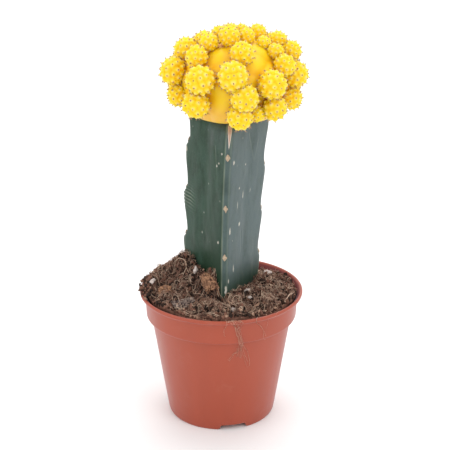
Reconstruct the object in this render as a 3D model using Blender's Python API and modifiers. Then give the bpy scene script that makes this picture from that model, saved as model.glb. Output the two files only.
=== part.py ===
"""Potted moon cactus.

A yellow Gymnocalycium scion, crowded with offsets, is grafted on a three-ribbed green rootstock.
The stock stands in potting mix that fills a round plastic nursery pot.

The plant faces -Y. The pot stands on Z = 0 and its axis is the Z axis.
Sizes in this file are in millimetres, and MM turns them into Blender's metres.
Bearings are in degrees, from the front (-Y) round towards +X.
"""
import math
import random

import bmesh
import bpy
from mathutils import Matrix, Vector

MM = 0.001
GAP = 0.3

# Nursery pot: a flared lip on a collar, a ledge, a tapered body and a notched foot ring
POT_HEIGHT = 68.8
RIM_RADIUS = 42.5
COLLAR_RADIUS = 39.8
COLLAR_TAPER = 0.5
LEDGE_Z = 54.5
BODY_TOP_RADIUS = 36.4
BODY_BASE_RADIUS = 28.3
WALL = 0.85
FLOOR_UNDERSIDE = 2.4
FLOOR_TOP = 3.3
FOOT_OUTER_RADIUS = 27.3
FOOT_INNER_RADIUS = 25.8
POT_STEPS = 48
NOTCH_BEARINGS = (13, 133, 253)
NOTCH_WIDTH = 13.7
NOTCH_TOP_WIDTH = 10.7
NOTCH_HEIGHT = 2.2
DRAIN_COUNT = 6
DRAIN_RADIUS = 3.0
DRAIN_CIRCLE = 16.0

# Potting mix: highest round the stem, heaped against the stem's left rib
MIX_STEPS = 40
MIX_EDGE_Z = 65.5
MIX_DOME = 6.5
MIX_HEAPS = (
    # centre x, centre y, height, spread
    (-19.0, 5.0, 18.0, 11.0),
    (-8.0, -13.5, 7.5, 6.0),
    (-33.0, -3.0, 7.0, 8.0),
)
MIX_TOP_RINGS = (36.4, 33.5, 30.5, 27.0, 23.5, 19.5, 15.0, 10.0, 5.0)

# Rootstock: a leaning three-ribbed column with wavy rib margins
STOCK_BOTTOM_Z = 48.0
STOCK_TOP_Z = 162.0
STOCK_RIB_RADIUS = 24.0
STOCK_FACE_RADIUS = 12.0
STOCK_RIB_SHARPNESS = 14.0
STOCK_WAVE = 0.8
STOCK_WAVE_PITCH = 26.0
STOCK_AREOLE_Z = 120.0
STOCK_LEAN = 3.4
STOCK_BASE_X = 0.6
STOCK_TWIST = 3.0
STOCK_LEVELS = 21
STOCK_CUTTER_GROWTH = 0.6

# Scion body: a squat ellipsoid, deeper below its girdle, cut flat where it is grafted
SCION_CENTRE = Vector((6.5, 0.0, 179.0))
SCION_RADIUS = 25.0
SCION_CROWN_HEIGHT = 20.0
SCION_LOWER_DEPTH = 24.0
SCION_STEPS = 24

# Offsets: latitude on the scion body, bearing, diameter, length of stalk
CROWN_OFFSETS = (
    (79, -163, 7.0, 1.5), (78, 54, 7.5, 0.0), (75, -16, 9.6, 0.0),
    (63, -53, 8.8, 0.0), (63, 72, 6.4, 0.0), (61, 139, 7.5, 3.5), (61, -110, 7.5, 1.5),
    (62, 168, 8.9, 0.0), (59, -156, 8.8, 0.0),
)
SHOULDER_OFFSETS = (
    (53, 102, 8.5, 3.5), (51, 10, 10.8, 0.0), (48, 68, 7.6, 0.0), (43, -49, 10.4, 0.0),
    (42, -99, 10.6, 0.0), (41, -139, 10.4, 0.0), (42, 135, 10.5, 0.0), (41, 171, 11.0, 0.0),
    (35, 95, 9.0, 3.5),
)
GIRDLE_OFFSETS = (
    (25, -4, 14.0, 0.0), (28, 60, 9.4, 0.0), (18, -31, 13.6, 0.0), (12, 35, 13.2, 0.0),
    (11, -90, 10.8, 0.0), (9, 88, 10.1, 1.5),
    (16, 118, 11.4, 0.0), (14, 148, 12.3, 0.0), (13, 181, 12.4, 0.0), (14, -149, 12.4, 0.0),
    (15, -118, 12.0, 0.0),
)
SKIRT_OFFSETS = (
    (-2, 12, 12.4, 0.0), (-13, -38, 12.7, 0.0), (-13, -84, 9.0, 0.0), (-15, 83, 9.0, 1.5),
    (-16, 40, 11.6, 0.0), (-25, 4, 11.4, 0.0), (-24, 24, 5.4, 0.0),
    (-13, 112, 11.4, 0.0), (-14, 143, 12.3, 0.0), (-15, 174, 12.3, 0.0), (-14, -156, 12.3, 0.0),
    (-13, -125, 11.9, 0.0), (-12, -103, 9.3, 0.0),
)
OFFSET_STEPS = 10
OFFSET_ROWS = 6
OFFSET_NECK = 0.22
OFFSET_SEAT = 0.45

# Debris that lies half sunk in the mix: x, y, length, width, thickness, turn, tilt
CHIPS = {
    "bark_chip_stem": (-5.8, -18.9, 7.5, 5.0, 2.6, -58, 12),
    "bark_chip_left": (-28.4, -13.6, 7.0, 4.2, 1.8, -8, 16),
    "wood_chip_front": (-18.2, -26.2, 9.6, 5.6, 3.4, 22, 14),
    "bark_nugget_front": (-8.4, -25.8, 4.2, 3.8, 2.8, 20, 8),
    "bark_nugget_right": (23.1, -17.9, 5.2, 4.4, 2.8, -25, -6),
}
CHIP_SUNK = 0.25

# Perlite grains: x, y, length, width, height, turn
PERLITE = (
    (-13.0, -11.2, 2.2, 4.4, 2.2, -22),
    (-35.2, -9.2, 3.2, 2.4, 2.0, 30),
    (13.1, -14.6, 3.4, 3.0, 2.8, 10),
    (14.6, -19.6, 2.4, 1.8, 1.6, -40),
    (24.6, 15.6, 4.6, 2.6, 2.2, 25),
    (6.3, -31.0, 3.4, 2.6, 2.0, -15),
)
PERLITE_SUNK = 0.15

TERRACOTTA = (0.46, 0.11, 0.065)
MIX_BROWN = (0.09, 0.055, 0.04)
STOCK_GREEN = (0.10, 0.17, 0.13)
SCION_APRICOT = (0.82, 0.38, 0.05)
OFFSET_YELLOW = (0.90, 0.68, 0.06)
BARK_TAN = (0.30, 0.16, 0.08)
PERLITE_WHITE = (0.78, 0.74, 0.70)


def clear_scene():
    """Remove whatever objects the file opened with."""
    for obj in list(bpy.data.objects):
        bpy.data.objects.remove(obj)


def make_collection(name):
    collection = bpy.data.collections.new(name)
    bpy.context.scene.collection.children.link(collection)
    return collection


def make_material(name, colour, roughness):
    material = bpy.data.materials.new(name)
    material.use_nodes = True
    shader = material.node_tree.nodes["Principled BSDF"]
    shader.inputs["Base Color"].default_value = (*colour, 1.0)
    shader.inputs["Roughness"].default_value = roughness
    shader.inputs["Metallic"].default_value = 0.0
    return material


def add_object(name, mesh, collection, material=None):
    obj = bpy.data.objects.new(name, mesh)
    collection.objects.link(obj)
    if material and not mesh.materials:
        mesh.materials.append(material)
    return obj


def add_cutter(name, mesh, collection):
    """Link an object that only cuts others."""
    cutter = add_object(name, mesh, collection)
    cutter.hide_render = True
    cutter.display_type = "WIRE"
    return cutter


def mesh_from_bmesh(name, bm):
    mesh = bpy.data.meshes.new(name)
    bm.to_mesh(mesh)
    bm.free()
    return mesh


def profile_mesh(name, points):
    """An open chain of edges through the (radius, height) points, in the XZ plane."""
    mesh = bpy.data.meshes.new(name)
    vertices = [(radius * MM, 0.0, height * MM) for radius, height in points]
    edges = [(index, index + 1) for index in range(len(points) - 1)]
    mesh.from_pydata(vertices, edges, [])
    return mesh


def add_turning(obj, steps):
    """Turn the object's profile once round its Z axis."""
    screw = obj.modifiers.new("turning", "SCREW")
    screw.axis = "Z"
    screw.angle = math.tau
    screw.steps = steps
    screw.render_steps = steps
    screw.use_merge_vertices = True
    screw.merge_threshold = 0.00001
    screw.use_smooth_shade = True


def add_cuts(obj, cutters):
    """Cut every object of a collection out of the object."""
    cut = obj.modifiers.new("cuts", "BOOLEAN")
    cut.operation = "DIFFERENCE"
    cut.solver = "EXACT"
    cut.operand_type = "COLLECTION"
    cut.collection = cutters


def turned_about_z(bearing):
    """The turn that carries the front (-Y) round to a bearing."""
    return Matrix.Rotation(math.radians(bearing), 4, "Z")


# ---------------------------------------------------------------- pot

def pot_outer_profile():
    lip_z = POT_HEIGHT
    return [
        (RIM_RADIUS - 0.4, lip_z), (RIM_RADIUS, lip_z - 0.6), (RIM_RADIUS, lip_z - 1.4),
        (RIM_RADIUS - 0.5, lip_z - 1.9), (COLLAR_RADIUS + 0.7, lip_z - 2.6),
        (COLLAR_RADIUS, lip_z - 4.0), (COLLAR_RADIUS - COLLAR_TAPER, LEDGE_Z + 1.4),
        (COLLAR_RADIUS - 1.5, LEDGE_Z + 0.1), (BODY_TOP_RADIUS + 0.6, LEDGE_Z),
        (BODY_TOP_RADIUS - 0.1, LEDGE_Z - 0.9), (BODY_BASE_RADIUS, 3.6),
        (FOOT_OUTER_RADIUS + 0.7, 1.2), (FOOT_OUTER_RADIUS, 0.0),
    ]


def pot_inner_profile():
    """The inside of the pot, from the middle of the floor up to the lip."""
    lip_z = POT_HEIGHT
    collar_inside = COLLAR_RADIUS - WALL
    return [
        (0.0, FLOOR_TOP), (BODY_BASE_RADIUS - 1.7, FLOOR_TOP),
        (BODY_BASE_RADIUS - WALL, FLOOR_TOP + 1.3), (BODY_TOP_RADIUS - 0.1 - WALL, LEDGE_Z - 0.8),
        (BODY_TOP_RADIUS - 0.2, LEDGE_Z + 0.9), (collar_inside - 1.0, LEDGE_Z + 1.1),
        (collar_inside - COLLAR_TAPER, LEDGE_Z + 1.9), (collar_inside, lip_z - 3.8),
        (COLLAR_RADIUS + 0.1, lip_z - 2.0), (RIM_RADIUS - 1.0, lip_z - 0.3),
    ]


def notch_mesh():
    """A bar across the foot ring whose sides lean in towards the top, at the front."""
    bm = bmesh.new()
    bmesh.ops.create_cube(bm, size=1.0)
    for vertex in bm.verts:
        at_top = vertex.co.z > 0
        width = NOTCH_TOP_WIDTH if at_top else NOTCH_WIDTH + 0.6
        vertex.co.x *= width * MM
        vertex.co.y = (vertex.co.y * 8.0 - (FOOT_OUTER_RADIUS + FOOT_INNER_RADIUS) / 2) * MM
        vertex.co.z = (NOTCH_HEIGHT if at_top else -0.5) * MM
    return mesh_from_bmesh("foot_notch", bm)


def drain_mesh():
    """A drainage hole's drill, on the circle of holes at the front."""
    bm = bmesh.new()
    bmesh.ops.create_cone(
        bm, cap_ends=True, segments=16, radius1=DRAIN_RADIUS * MM, radius2=DRAIN_RADIUS * MM,
        depth=4.0 * MM,
        matrix=Matrix.Translation(Vector((0.0, -DRAIN_CIRCLE, FLOOR_UNDERSIDE + 0.5)) * MM),
    )
    return mesh_from_bmesh("drain_hole", bm)


def make_pot(parts, material):
    """A profile down the outside, under the floor and up the inside, turned round the axis."""
    points = pot_outer_profile()
    points += [(FOOT_INNER_RADIUS, 0.0), (FOOT_INNER_RADIUS - 0.2, FLOOR_UNDERSIDE)]
    points += [(0.0, FLOOR_UNDERSIDE)] + pot_inner_profile() + points[:1]
    pot = add_object("pot", profile_mesh("pot", points), parts, material)
    add_turning(pot, POT_STEPS)
    cutters = make_collection("pot_cutters")
    notch = notch_mesh()
    for number, bearing in enumerate(NOTCH_BEARINGS, start=1):
        cutter = add_cutter(f"foot_notch_{number}", notch, cutters)
        cutter.matrix_world = turned_about_z(bearing)
    drain = drain_mesh()
    for number in range(DRAIN_COUNT):
        cutter = add_cutter(f"drain_hole_{number + 1}", drain, cutters)
        cutter.matrix_world = turned_about_z(number * 360 / DRAIN_COUNT)
    add_cuts(pot, cutters)


# ---------------------------------------------------------------- potting mix

def mix_height(x, y):
    """Height of the mix: a dome that falls to the wall, with round heaps on it."""
    outward = (x * x + y * y) / (COLLAR_RADIUS - 1.2) ** 2
    height = MIX_EDGE_Z + MIX_DOME * max(0.0, 1.0 - outward)
    for centre_x, centre_y, rise, spread in MIX_HEAPS:
        distance_squared = (x - centre_x) ** 2 + (y - centre_y) ** 2
        height += rise * math.exp(-distance_squared / (2 * spread**2))
    return height


def mix_slope(x, y):
    """The upward normal of the mix's surface."""
    step = 0.5
    rise_x = (mix_height(x + step, y) - mix_height(x - step, y)) / (2 * step)
    rise_y = (mix_height(x, y + step) - mix_height(x, y - step)) / (2 * step)
    return Vector((-rise_x, -rise_y, 1.0)).normalized()


def mix_side_profile():
    """The pot's inner profile drawn in by the gap, with its top point first."""
    side = [(radius - GAP, height) for radius, height in pot_inner_profile()[1:8]]
    side[0] = (side[0][0], FLOOR_TOP + GAP)
    side[1] = (side[1][0], side[1][1] + GAP)
    side[4:6] = [(radius, height + GAP) for radius, height in side[4:6]]
    side[6] = (side[6][0], MIX_EDGE_Z - 2.0)
    return side[::-1]


def make_mix(parts, material, cutters):
    """A turned plug whose top rings are then lifted to the height of the mix."""
    side = mix_side_profile()
    wall_radius = side[0][0]
    rings = [(radius, MIX_EDGE_Z) for radius in (wall_radius, *MIX_TOP_RINGS)]
    points = [(0.0, MIX_EDGE_Z)] + rings[::-1] + side + [(0.0, FLOOR_TOP + GAP)]
    plug = add_object("plug", profile_mesh("plug", points), parts)
    add_turning(plug, MIX_STEPS)
    evaluated = plug.evaluated_get(bpy.context.evaluated_depsgraph_get())
    mesh = bpy.data.meshes.new_from_object(evaluated)
    bpy.data.objects.remove(plug)
    mesh.name = "potting_mix"
    for vertex in mesh.vertices:
        if abs(vertex.co.z - MIX_EDGE_Z * MM) < 0.0001:
            vertex.co.z = mix_height(vertex.co.x / MM, vertex.co.y / MM) * MM
    mix = add_object("potting_mix", mesh, parts, material)
    add_cuts(mix, cutters)


# ---------------------------------------------------------------- debris in the mix

def lie_on_mix(x, y, turn, tilt, lift):
    """Put an object's own XY plane on the slope of the mix, turned and tilted."""
    up = mix_slope(x, y)
    place = Vector((x, y, mix_height(x, y))) + up * lift
    on_slope = Vector((0.0, 0.0, 1.0)).rotation_difference(up).to_matrix().to_4x4()
    turned = Matrix.Rotation(math.radians(turn), 4, "Z")
    tilted = Matrix.Rotation(math.radians(tilt), 4, "Y")
    return Matrix.Translation(place * MM) @ on_slope @ turned @ tilted


def chip_mesh(name, length, width, thickness, growth=0.0):
    """A flake: a box whose top face is shorter and skewed."""
    bm = bmesh.new()
    bmesh.ops.create_cube(bm, size=1.0)
    for vertex in bm.verts:
        taper = 0.7 if vertex.co.z > 0 else 1.0
        skew = 0.06 * length if vertex.co.z > 0 else 0.0
        vertex.co.x = (vertex.co.x * (length * taper + 2 * growth) + skew) * MM
        vertex.co.y *= (width * taper + 2 * growth) * MM
        vertex.co.z *= (thickness + 2 * growth) * MM
    return mesh_from_bmesh(name, bm)


def make_chips(parts, material, cutters):
    for name, (x, y, length, width, thickness, turn, tilt) in CHIPS.items():
        place = lie_on_mix(x, y, turn, tilt, thickness * CHIP_SUNK)
        chip = add_object(name, chip_mesh(name, length, width, thickness), parts, material)
        chip.matrix_world = place
        bevel = chip.modifiers.new("worn edges", "BEVEL")
        bevel.width = 0.12 * thickness * MM
        bevel.segments = 1
        pit = chip_mesh(name + "_pit", length, width, thickness, growth=GAP)
        add_cutter(name + "_pit", pit, cutters).matrix_world = place


def grain_mesh(name, size, seed, growth=0.0):
    """A rough pebble: an icosphere with each vertex moved in or out a little."""
    shake = random.Random(seed)
    bm = bmesh.new()
    bmesh.ops.create_icosphere(bm, subdivisions=1, radius=1.0)
    for vertex in bm.verts:
        vertex.co *= shake.uniform(0.86, 1.08)
        vertex.co = Vector([
            coordinate * (extent / 2 + growth) * MM
            for coordinate, extent in zip(vertex.co, size)
        ])
    return mesh_from_bmesh(name, bm)


def make_perlite(parts, material, cutters):
    for number, (x, y, length, width, height, turn) in enumerate(PERLITE, start=1):
        name = f"perlite_grain_{number}"
        size = (length, width, height)
        place = lie_on_mix(x, y, turn, 0, height * PERLITE_SUNK)
        grain = add_object(name, grain_mesh(name, size, number), parts, material)
        grain.matrix_world = place
        pit = grain_mesh(name + "_pit", size, number, growth=GAP + 0.1)
        add_cutter(name + "_pit", pit, cutters).matrix_world = place


# ---------------------------------------------------------------- rootstock

def stock_section(z, growth):
    """One ring of the stock: a triangle with blunt corners, turned and leaning with height.

    The radius is a smooth minimum of the flat face's distance, which grows away from the middle
    of the face, and the rib's radius, so that the faces are flat and the ribs are round.
    """
    rise = (z - STOCK_BOTTOM_Z) / (STOCK_TOP_Z - STOCK_BOTTOM_Z)
    centre_x = STOCK_BASE_X + STOCK_LEAN * max(0.0, (z - 60.0) / 100.0) ** 2
    wave = STOCK_WAVE * math.cos(math.tau * (z - STOCK_AREOLE_Z) / STOCK_WAVE_PITCH)
    shoulder = 1.0 - 0.14 * max(0.0, (z - STOCK_TOP_Z + 5.0) / 5.0) ** 2
    root = 1.0 - 0.35 * max(0.0, (STOCK_BOTTOM_Z + 14.0 - z) / 14.0) ** 2
    ring = []
    for rib in range(3):
        for across in (-60, -55, -46, -26, 0, 26, 46, 55):
            face = STOCK_FACE_RADIUS / math.cos(math.radians(across))
            rib_radius = STOCK_RIB_RADIUS + wave
            sharpness = STOCK_RIB_SHARPNESS
            radius = (face**-sharpness + rib_radius**-sharpness) ** (-1 / sharpness)
            radius = radius * shoulder * root + growth
            bearing = math.radians(120 * rib + 60 + across + STOCK_TWIST * (1 - rise))
            ring.append((centre_x + radius * math.sin(bearing), -radius * math.cos(bearing), z))
    return ring


def stock_mesh(name, growth=0.0):
    """Rings lofted from the buried foot to the cut top, with flat ends."""
    bottom = STOCK_BOTTOM_Z - growth
    step = (STOCK_TOP_Z - STOCK_BOTTOM_Z) / (STOCK_LEVELS - 1)
    heights = [bottom] + [STOCK_BOTTOM_Z + level * step for level in range(1, STOCK_LEVELS)]
    bm = bmesh.new()
    rings = []
    for z in heights:
        ring = stock_section(max(z, STOCK_BOTTOM_Z), growth)
        rings.append([bm.verts.new((x * MM, y * MM, z * MM)) for x, y, _ in ring])
    count = len(rings[0])
    for lower, upper in zip(rings, rings[1:]):
        for index in range(count):
            after = (index + 1) % count
            bm.faces.new((lower[index], lower[after], upper[after], upper[index]))
    bm.faces.new(rings[0][::-1])
    bm.faces.new(rings[-1])
    return mesh_from_bmesh(name, bm)


def make_stock(parts, material, cutters):
    mesh = stock_mesh("rootstock")
    mesh.shade_smooth()
    mesh.set_sharp_from_angle(angle=math.radians(40))
    add_object("rootstock", mesh, parts, material)
    add_cutter("stock_socket", stock_mesh("stock_socket", STOCK_CUTTER_GROWTH), cutters)


# ---------------------------------------------------------------- scion and offsets

def scion_half_height(rise):
    """The ellipsoid's upright half axis above or below the girdle."""
    return SCION_LOWER_DEPTH if rise < 0 else SCION_CROWN_HEIGHT


def make_scion(parts, material):
    """Two half ellipses turned round an upright axis, from the crown to the flat graft."""
    graft_z = STOCK_TOP_Z + GAP - SCION_CENTRE.z
    graft_angle = math.acos(graft_z / SCION_LOWER_DEPTH)
    rows = 12
    points = []
    for row in range(rows + 1):
        angle = row * graft_angle / rows
        rise = math.cos(angle)
        points.append((SCION_RADIUS * math.sin(angle), scion_half_height(rise) * rise))
    points.append((0.0, graft_z))
    scion = add_object("scion", profile_mesh("scion", points), parts, material)
    scion.location = SCION_CENTRE * MM
    add_turning(scion, SCION_STEPS)


def scion_normal(latitude, bearing):
    latitude = math.radians(latitude)
    bearing = math.radians(bearing)
    level = math.cos(latitude)
    return Vector((level * math.sin(bearing), -level * math.cos(bearing), math.sin(latitude)))


def scion_surface(normal):
    """The point of the scion's ellipsoid where the surface faces along the normal."""
    half_axes = Vector((SCION_RADIUS, SCION_RADIUS, scion_half_height(normal.z)))
    stretched = half_axes * normal
    return SCION_CENTRE + half_axes * stretched / stretched.length


def offset_profile(diameter, stalk):
    """A globe from its crown down to a small flat neck, which a stalk may lengthen."""
    neck_angle = math.acos(-OFFSET_SEAT / 0.5)
    points = []
    for row in range(OFFSET_ROWS):
        angle = row * neck_angle / OFFSET_ROWS
        height = diameter * (OFFSET_SEAT + 0.5 * math.cos(angle)) + stalk
        points.append((0.5 * diameter * math.sin(angle), height))
    neck_radius = OFFSET_NECK * diameter
    if stalk:
        points.append((neck_radius, stalk))
    return points + [(neck_radius, 0.0), (0.0, 0.0)]


def make_offsets(parts, material):
    """Each offset stands on the scion along the surface's normal, its neck a gap off it."""
    layout = CROWN_OFFSETS + SHOULDER_OFFSETS + GIRDLE_OFFSETS + SKIRT_OFFSETS
    for number, (latitude, bearing, diameter, stalk) in enumerate(layout, start=1):
        name = f"offset_{number:02d}"
        normal = scion_normal(latitude, bearing)
        neck = scion_surface(normal) + normal * GAP
        profile = profile_mesh(name, offset_profile(diameter, stalk))
        offset = add_object(name, profile, parts, material)
        facing = Vector((0.0, 0.0, 1.0)).rotation_difference(normal).to_matrix().to_4x4()
        offset.matrix_world = Matrix.Translation(neck * MM) @ facing
        add_turning(offset, OFFSET_STEPS)


def main():
    clear_scene()
    parts = make_collection("potted_moon_cactus")
    sockets = make_collection("mix_cutters")
    bark = make_material("bark", BARK_TAN, 0.85)
    make_pot(parts, make_material("terracotta_plastic", TERRACOTTA, 0.5))
    make_stock(parts, make_material("stock_skin", STOCK_GREEN, 0.45), sockets)
    make_chips(parts, bark, sockets)
    make_perlite(parts, make_material("perlite", PERLITE_WHITE, 0.9), sockets)
    make_mix(parts, make_material("potting_mix", MIX_BROWN, 0.95), sockets)
    make_scion(parts, make_material("scion_skin", SCION_APRICOT, 0.45))
    make_offsets(parts, make_material("offset_skin", OFFSET_YELLOW, 0.4))


main()
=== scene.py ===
"""Potted moon cactus: the living surfaces of the plant, its potting mix and its pot.

Sizes are in metres, and in millimetres in the tables marked mm, in the frame's own axes.
The plant faces -Y. A bearing runs from the front (-Y) round towards +X.
"""
import math

import bpy
import numpy as np
from mathutils import Euler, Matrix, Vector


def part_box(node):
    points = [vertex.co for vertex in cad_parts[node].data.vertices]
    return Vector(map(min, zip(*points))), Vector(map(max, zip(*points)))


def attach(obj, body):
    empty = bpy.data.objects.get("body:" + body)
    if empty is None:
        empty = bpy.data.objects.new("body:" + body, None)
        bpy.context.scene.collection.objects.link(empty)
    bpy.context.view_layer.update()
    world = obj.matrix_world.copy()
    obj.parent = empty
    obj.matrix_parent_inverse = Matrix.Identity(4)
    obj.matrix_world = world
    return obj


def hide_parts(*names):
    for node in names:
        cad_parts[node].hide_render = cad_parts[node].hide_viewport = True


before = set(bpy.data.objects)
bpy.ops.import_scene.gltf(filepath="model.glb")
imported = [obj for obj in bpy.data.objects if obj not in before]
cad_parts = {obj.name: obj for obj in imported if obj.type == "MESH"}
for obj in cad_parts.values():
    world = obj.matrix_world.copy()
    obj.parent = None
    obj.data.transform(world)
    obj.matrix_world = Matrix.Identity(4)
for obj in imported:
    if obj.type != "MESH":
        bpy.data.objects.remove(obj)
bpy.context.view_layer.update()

bl_info = {
    "name": "Potted Moon Cactus",
    "version": (1, 0, 0),
    "blender": (4, 5, 0),
    "location": "View3D > Sidebar > Moon Cactus",
    "description": "Builds the skin, spines, potting mix and pot of a grafted moon cactus",
    "category": "Add Mesh",
}

MM = 0.001
THIRD = math.tau / 3
GOLDEN_ANGLE = math.pi * (3.0 - math.sqrt(5.0))
POT_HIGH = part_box("pot")[1]
STOCK_LOW, STOCK_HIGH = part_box("rootstock")
SCION_LOW, SCION_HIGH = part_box("scion")
POT_HEIGHT = POT_HIGH.z
POT_RADIUS = POT_HIGH.x


# ---------------------------------------------------------------- settings

def length(name, description, default):
    """A setting in metres."""
    return bpy.props.FloatProperty(
        name=name, description=description, default=default, unit="LENGTH", precision=5)


def share(name, description, default):
    """A setting that is a plain number or a ratio."""
    return bpy.props.FloatProperty(name=name, description=description, default=default)


def angle(name, description, degrees):
    """A setting kept in radians, given in degrees."""
    return bpy.props.FloatProperty(
        name=name, description=description, default=math.radians(degrees), unit="ROTATION")


def count(name, description, default):
    """A setting that is a whole number."""
    return bpy.props.IntProperty(name=name, description=description, default=default)


def colour(name, description, default):
    """A setting that is a colour: linear red, green and blue."""
    return bpy.props.FloatVectorProperty(
        name=name, description=description, default=default, subtype="COLOR", size=3,
        min=0.0, max=1.0)


class CactusPotSettings(bpy.types.PropertyGroup):
    height: length("Height", "From the foot to the lip", POT_HEIGHT)
    lip_radius: length("Lip radius", "Outside of the flared lip", POT_RADIUS)
    collar_radius: length("Collar radius", "Outside of the upright collar", 39.8 * MM)
    ledge_height: length("Ledge height", "Underside of the collar", 54.5 * MM)
    body_radius: length("Body radius", "Outside of the body under the ledge", 36.7 * MM)
    base_radius: length("Base radius", "Outside of the body at its base", 28.7 * MM)
    wall: length("Wall", "Thickness of the moulding", 0.85 * MM)
    foot_radius: length("Foot radius", "Outside of the flat foot ring", 27.7 * MM)
    floor: length("Floor", "Height of the floor's underside above the foot", 2.4 * MM)
    notch_bearing: angle("Notch bearing", "The first of three notches in the foot", 13)
    notch_half_angle: angle("Notch half angle", "Half the notch as seen from the axis", 12.5)
    notch_height: length("Notch height", "How far the notches reach up", 2.9 * MM)
    drain_circle: length("Drain circle", "Radius of the circle of drainage holes", 16.0 * MM)
    drain_radius: length("Drain radius", "Radius of a drainage hole", 3.0 * MM)
    plastic: colour("Plastic", "Terracotta-coloured plastic", (0.335, 0.054, 0.0215))
    scuff: colour("Scuff", "Pale dusty scuffs on the plastic", (0.50, 0.24, 0.18))
    # Painted shade: the inner wall is coloured a deeper red.
    inside: colour("Inside", "Deeper red of the damp inner wall", (0.150, 0.008, 0.005))


class CactusMixSettings(bpy.types.PropertyGroup):
    edge_height: length("Edge height", "Height of the mix at the pot's wall", 67.5 * MM)
    dome: length("Dome", "Rise from the wall to the stem", 4.3 * MM)
    radius: length("Radius", "Where the mix meets the collar", 39.3 * MM)
    roughness: length("Roughness", "Height of the clods", 1.9 * MM)
    crumbs: count("Crumbs", "Loose crumbs of peat and bark", 7600)
    fibres: count("Fibres", "Curly peat fibres", 3250)
    straws: count("Straws", "Longer and paler stalks", 80)
    peat: colour("Peat", "Dark moist peat", (0.024, 0.013, 0.009))
    bark: colour("Bark", "Reddish bark crumbs", (0.215, 0.103, 0.070))
    tan: colour("Tan", "Pale dry crumbs", (0.52, 0.33, 0.23))
    straw: colour("Straw", "Dry stalks and fibres", (0.80, 0.59, 0.44))


class CactusStockSettings(bpy.types.PropertyGroup):
    face_radius: length("Face radius", "From the axis to the middle of a face", 12.6 * MM)
    rib_radius: length("Rib radius", "From the axis to the blunt rib", 22.8 * MM)
    crispness: share("Crispness", "How tight the corners of the ribs are", 26.0)
    hollow: share("Hollow", "How far each face sinks in its middle", 0.035)
    lean: length("Lean", "How far the top stands to the right of the foot", 3.4 * MM)
    twist: angle("Twist", "Turn of the foot against the top", 3)
    shoulder: length("Shoulder", "Depth of the rounding under the graft", 5.0 * MM)
    skin: colour("Skin", "Dark green skin", (0.032, 0.066, 0.044))
    shade: colour("Shade", "Deeper green", (0.014, 0.036, 0.019))
    # Waxy bloom; on the right face it also serves as a painted reflection.
    bloom: colour("Bloom", "Pale mauve-grey waxy bloom", (0.102, 0.135, 0.138))
    cork: colour("Cork", "Corky areoles and scars", (0.36, 0.255, 0.17))
    cut: colour("Cut", "The dry shaved strip on the front rib", (0.47, 0.30, 0.235))
    cut_grain: colour("Cut grain", "Paler streaks along the strip", (0.62, 0.46, 0.40))
    cut_rim: colour("Cut rim", "Pale outline of the strip", (0.66, 0.58, 0.50))
    # Pale wear on corners and folds, and a painted highlight on the wrinkles' crests.
    worn_and_highlight: colour("Worn", "Worn corners, wrinkles and folds", (0.30, 0.34, 0.26))
    fleck: colour("Fleck", "Small pale flecks", (0.42, 0.42, 0.36))
    healed: colour("Healed", "Healed scars", (0.52, 0.49, 0.42))
    cork_grain: colour("Cork grain", "Paler grain in the cork", (0.56, 0.45, 0.33))


class CactusScionSettings(bpy.types.PropertyGroup):
    crown_height: length("Crown height", "From the girdle up to the crown", 20.0 * MM)
    lower_depth: length("Lower depth", "From the girdle to the ellipsoid's foot", 24.0 * MM)
    ribs: count("Ribs", "Low ribs round the body", 11)
    rib_height: length("Rib height", "How far the ribs stand out", 0.9 * MM)
    swelling: length("Swelling", "How far the soft domes on the crown stand out", 1.9 * MM)
    # Painted shade: the creases are coloured a deeper orange.
    valley_shade: colour("Valley", "Orange-yellow in the creases", (0.90, 0.44, 0.003))
    skin: colour("Skin", "Warm yellow skin", (0.89, 0.635, 0.010))
    lower: colour("Lower", "Apricot skin near the graft", (0.84, 0.50, 0.065))


class CactusOffsetSettings(bpy.types.PropertyGroup):
    tubercle_height: share("Tubercle height", "Against the offset's diameter", 0.122)
    growth: length("Growth", "How much the tubercles add to an offset's diameter", 1.5 * MM)
    tubercles: share("Tubercles", "Number of tubercles on an offset 10 mm across", 52)
    # Painted shade: the valleys between tubercles are coloured a deeper yellow.
    valley_shade: colour("Valley", "Deep yellow between tubercles", (0.92, 0.630, 0.004))
    skin: colour("Skin", "Lemon-yellow skin", (0.87, 0.622, 0.016))
    tip: colour("Tip", "Pale tips of the tubercles", (0.86, 0.655, 0.28))
    areole: colour("Areole", "Mauve-brown felt", (0.26, 0.12, 0.060))
    spine: colour("Spine", "Short weak spines", (0.33, 0.15, 0.075))


class CactusStageSettings(bpy.types.PropertyGroup):
    distance: length("Distance", "From the pot's axis to the camera", 550.0 * MM)
    side: length("Side", "How far the camera stands to the right", 1.95 * MM)
    height: length("Height", "Height of the camera", 308.5 * MM)
    pitch: angle("Pitch", "How far the camera looks down", 20.43)
    lens: share("Lens", "Focal length in millimetres on a 36 mm sensor", 91.5)
    floor: colour("Floor", "Plain pale floor", (0.90, 0.90, 0.90))
    surroundings: share("Surroundings", "Strength of the white surroundings", 0.92)


# ---------------------------------------------------------------- arrays and meshes

def smoothstep(low, high, value):
    """0 below low, 1 above high, and a cubic ease between them."""
    part = np.clip((value - low) / (high - low), 0.0, 1.0)
    return part * part * (3.0 - 2.0 * part)


def hashed(corner, seed):
    """A fixed random number from -1 to 1 for each corner of the integer lattice."""
    mask = np.int64(0xFFFFFFFF)
    mixed = corner[..., 0] * 73856093 ^ corner[..., 1] * 19349663 ^ corner[..., 2] * 83492791
    mixed = (mixed ^ (seed * 668265263)) & mask
    mixed = ((mixed ^ (mixed >> 13)) * 1274126177) & mask
    mixed = mixed ^ (mixed >> 16)
    return mixed / float(mask) * 2.0 - 1.0


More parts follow.
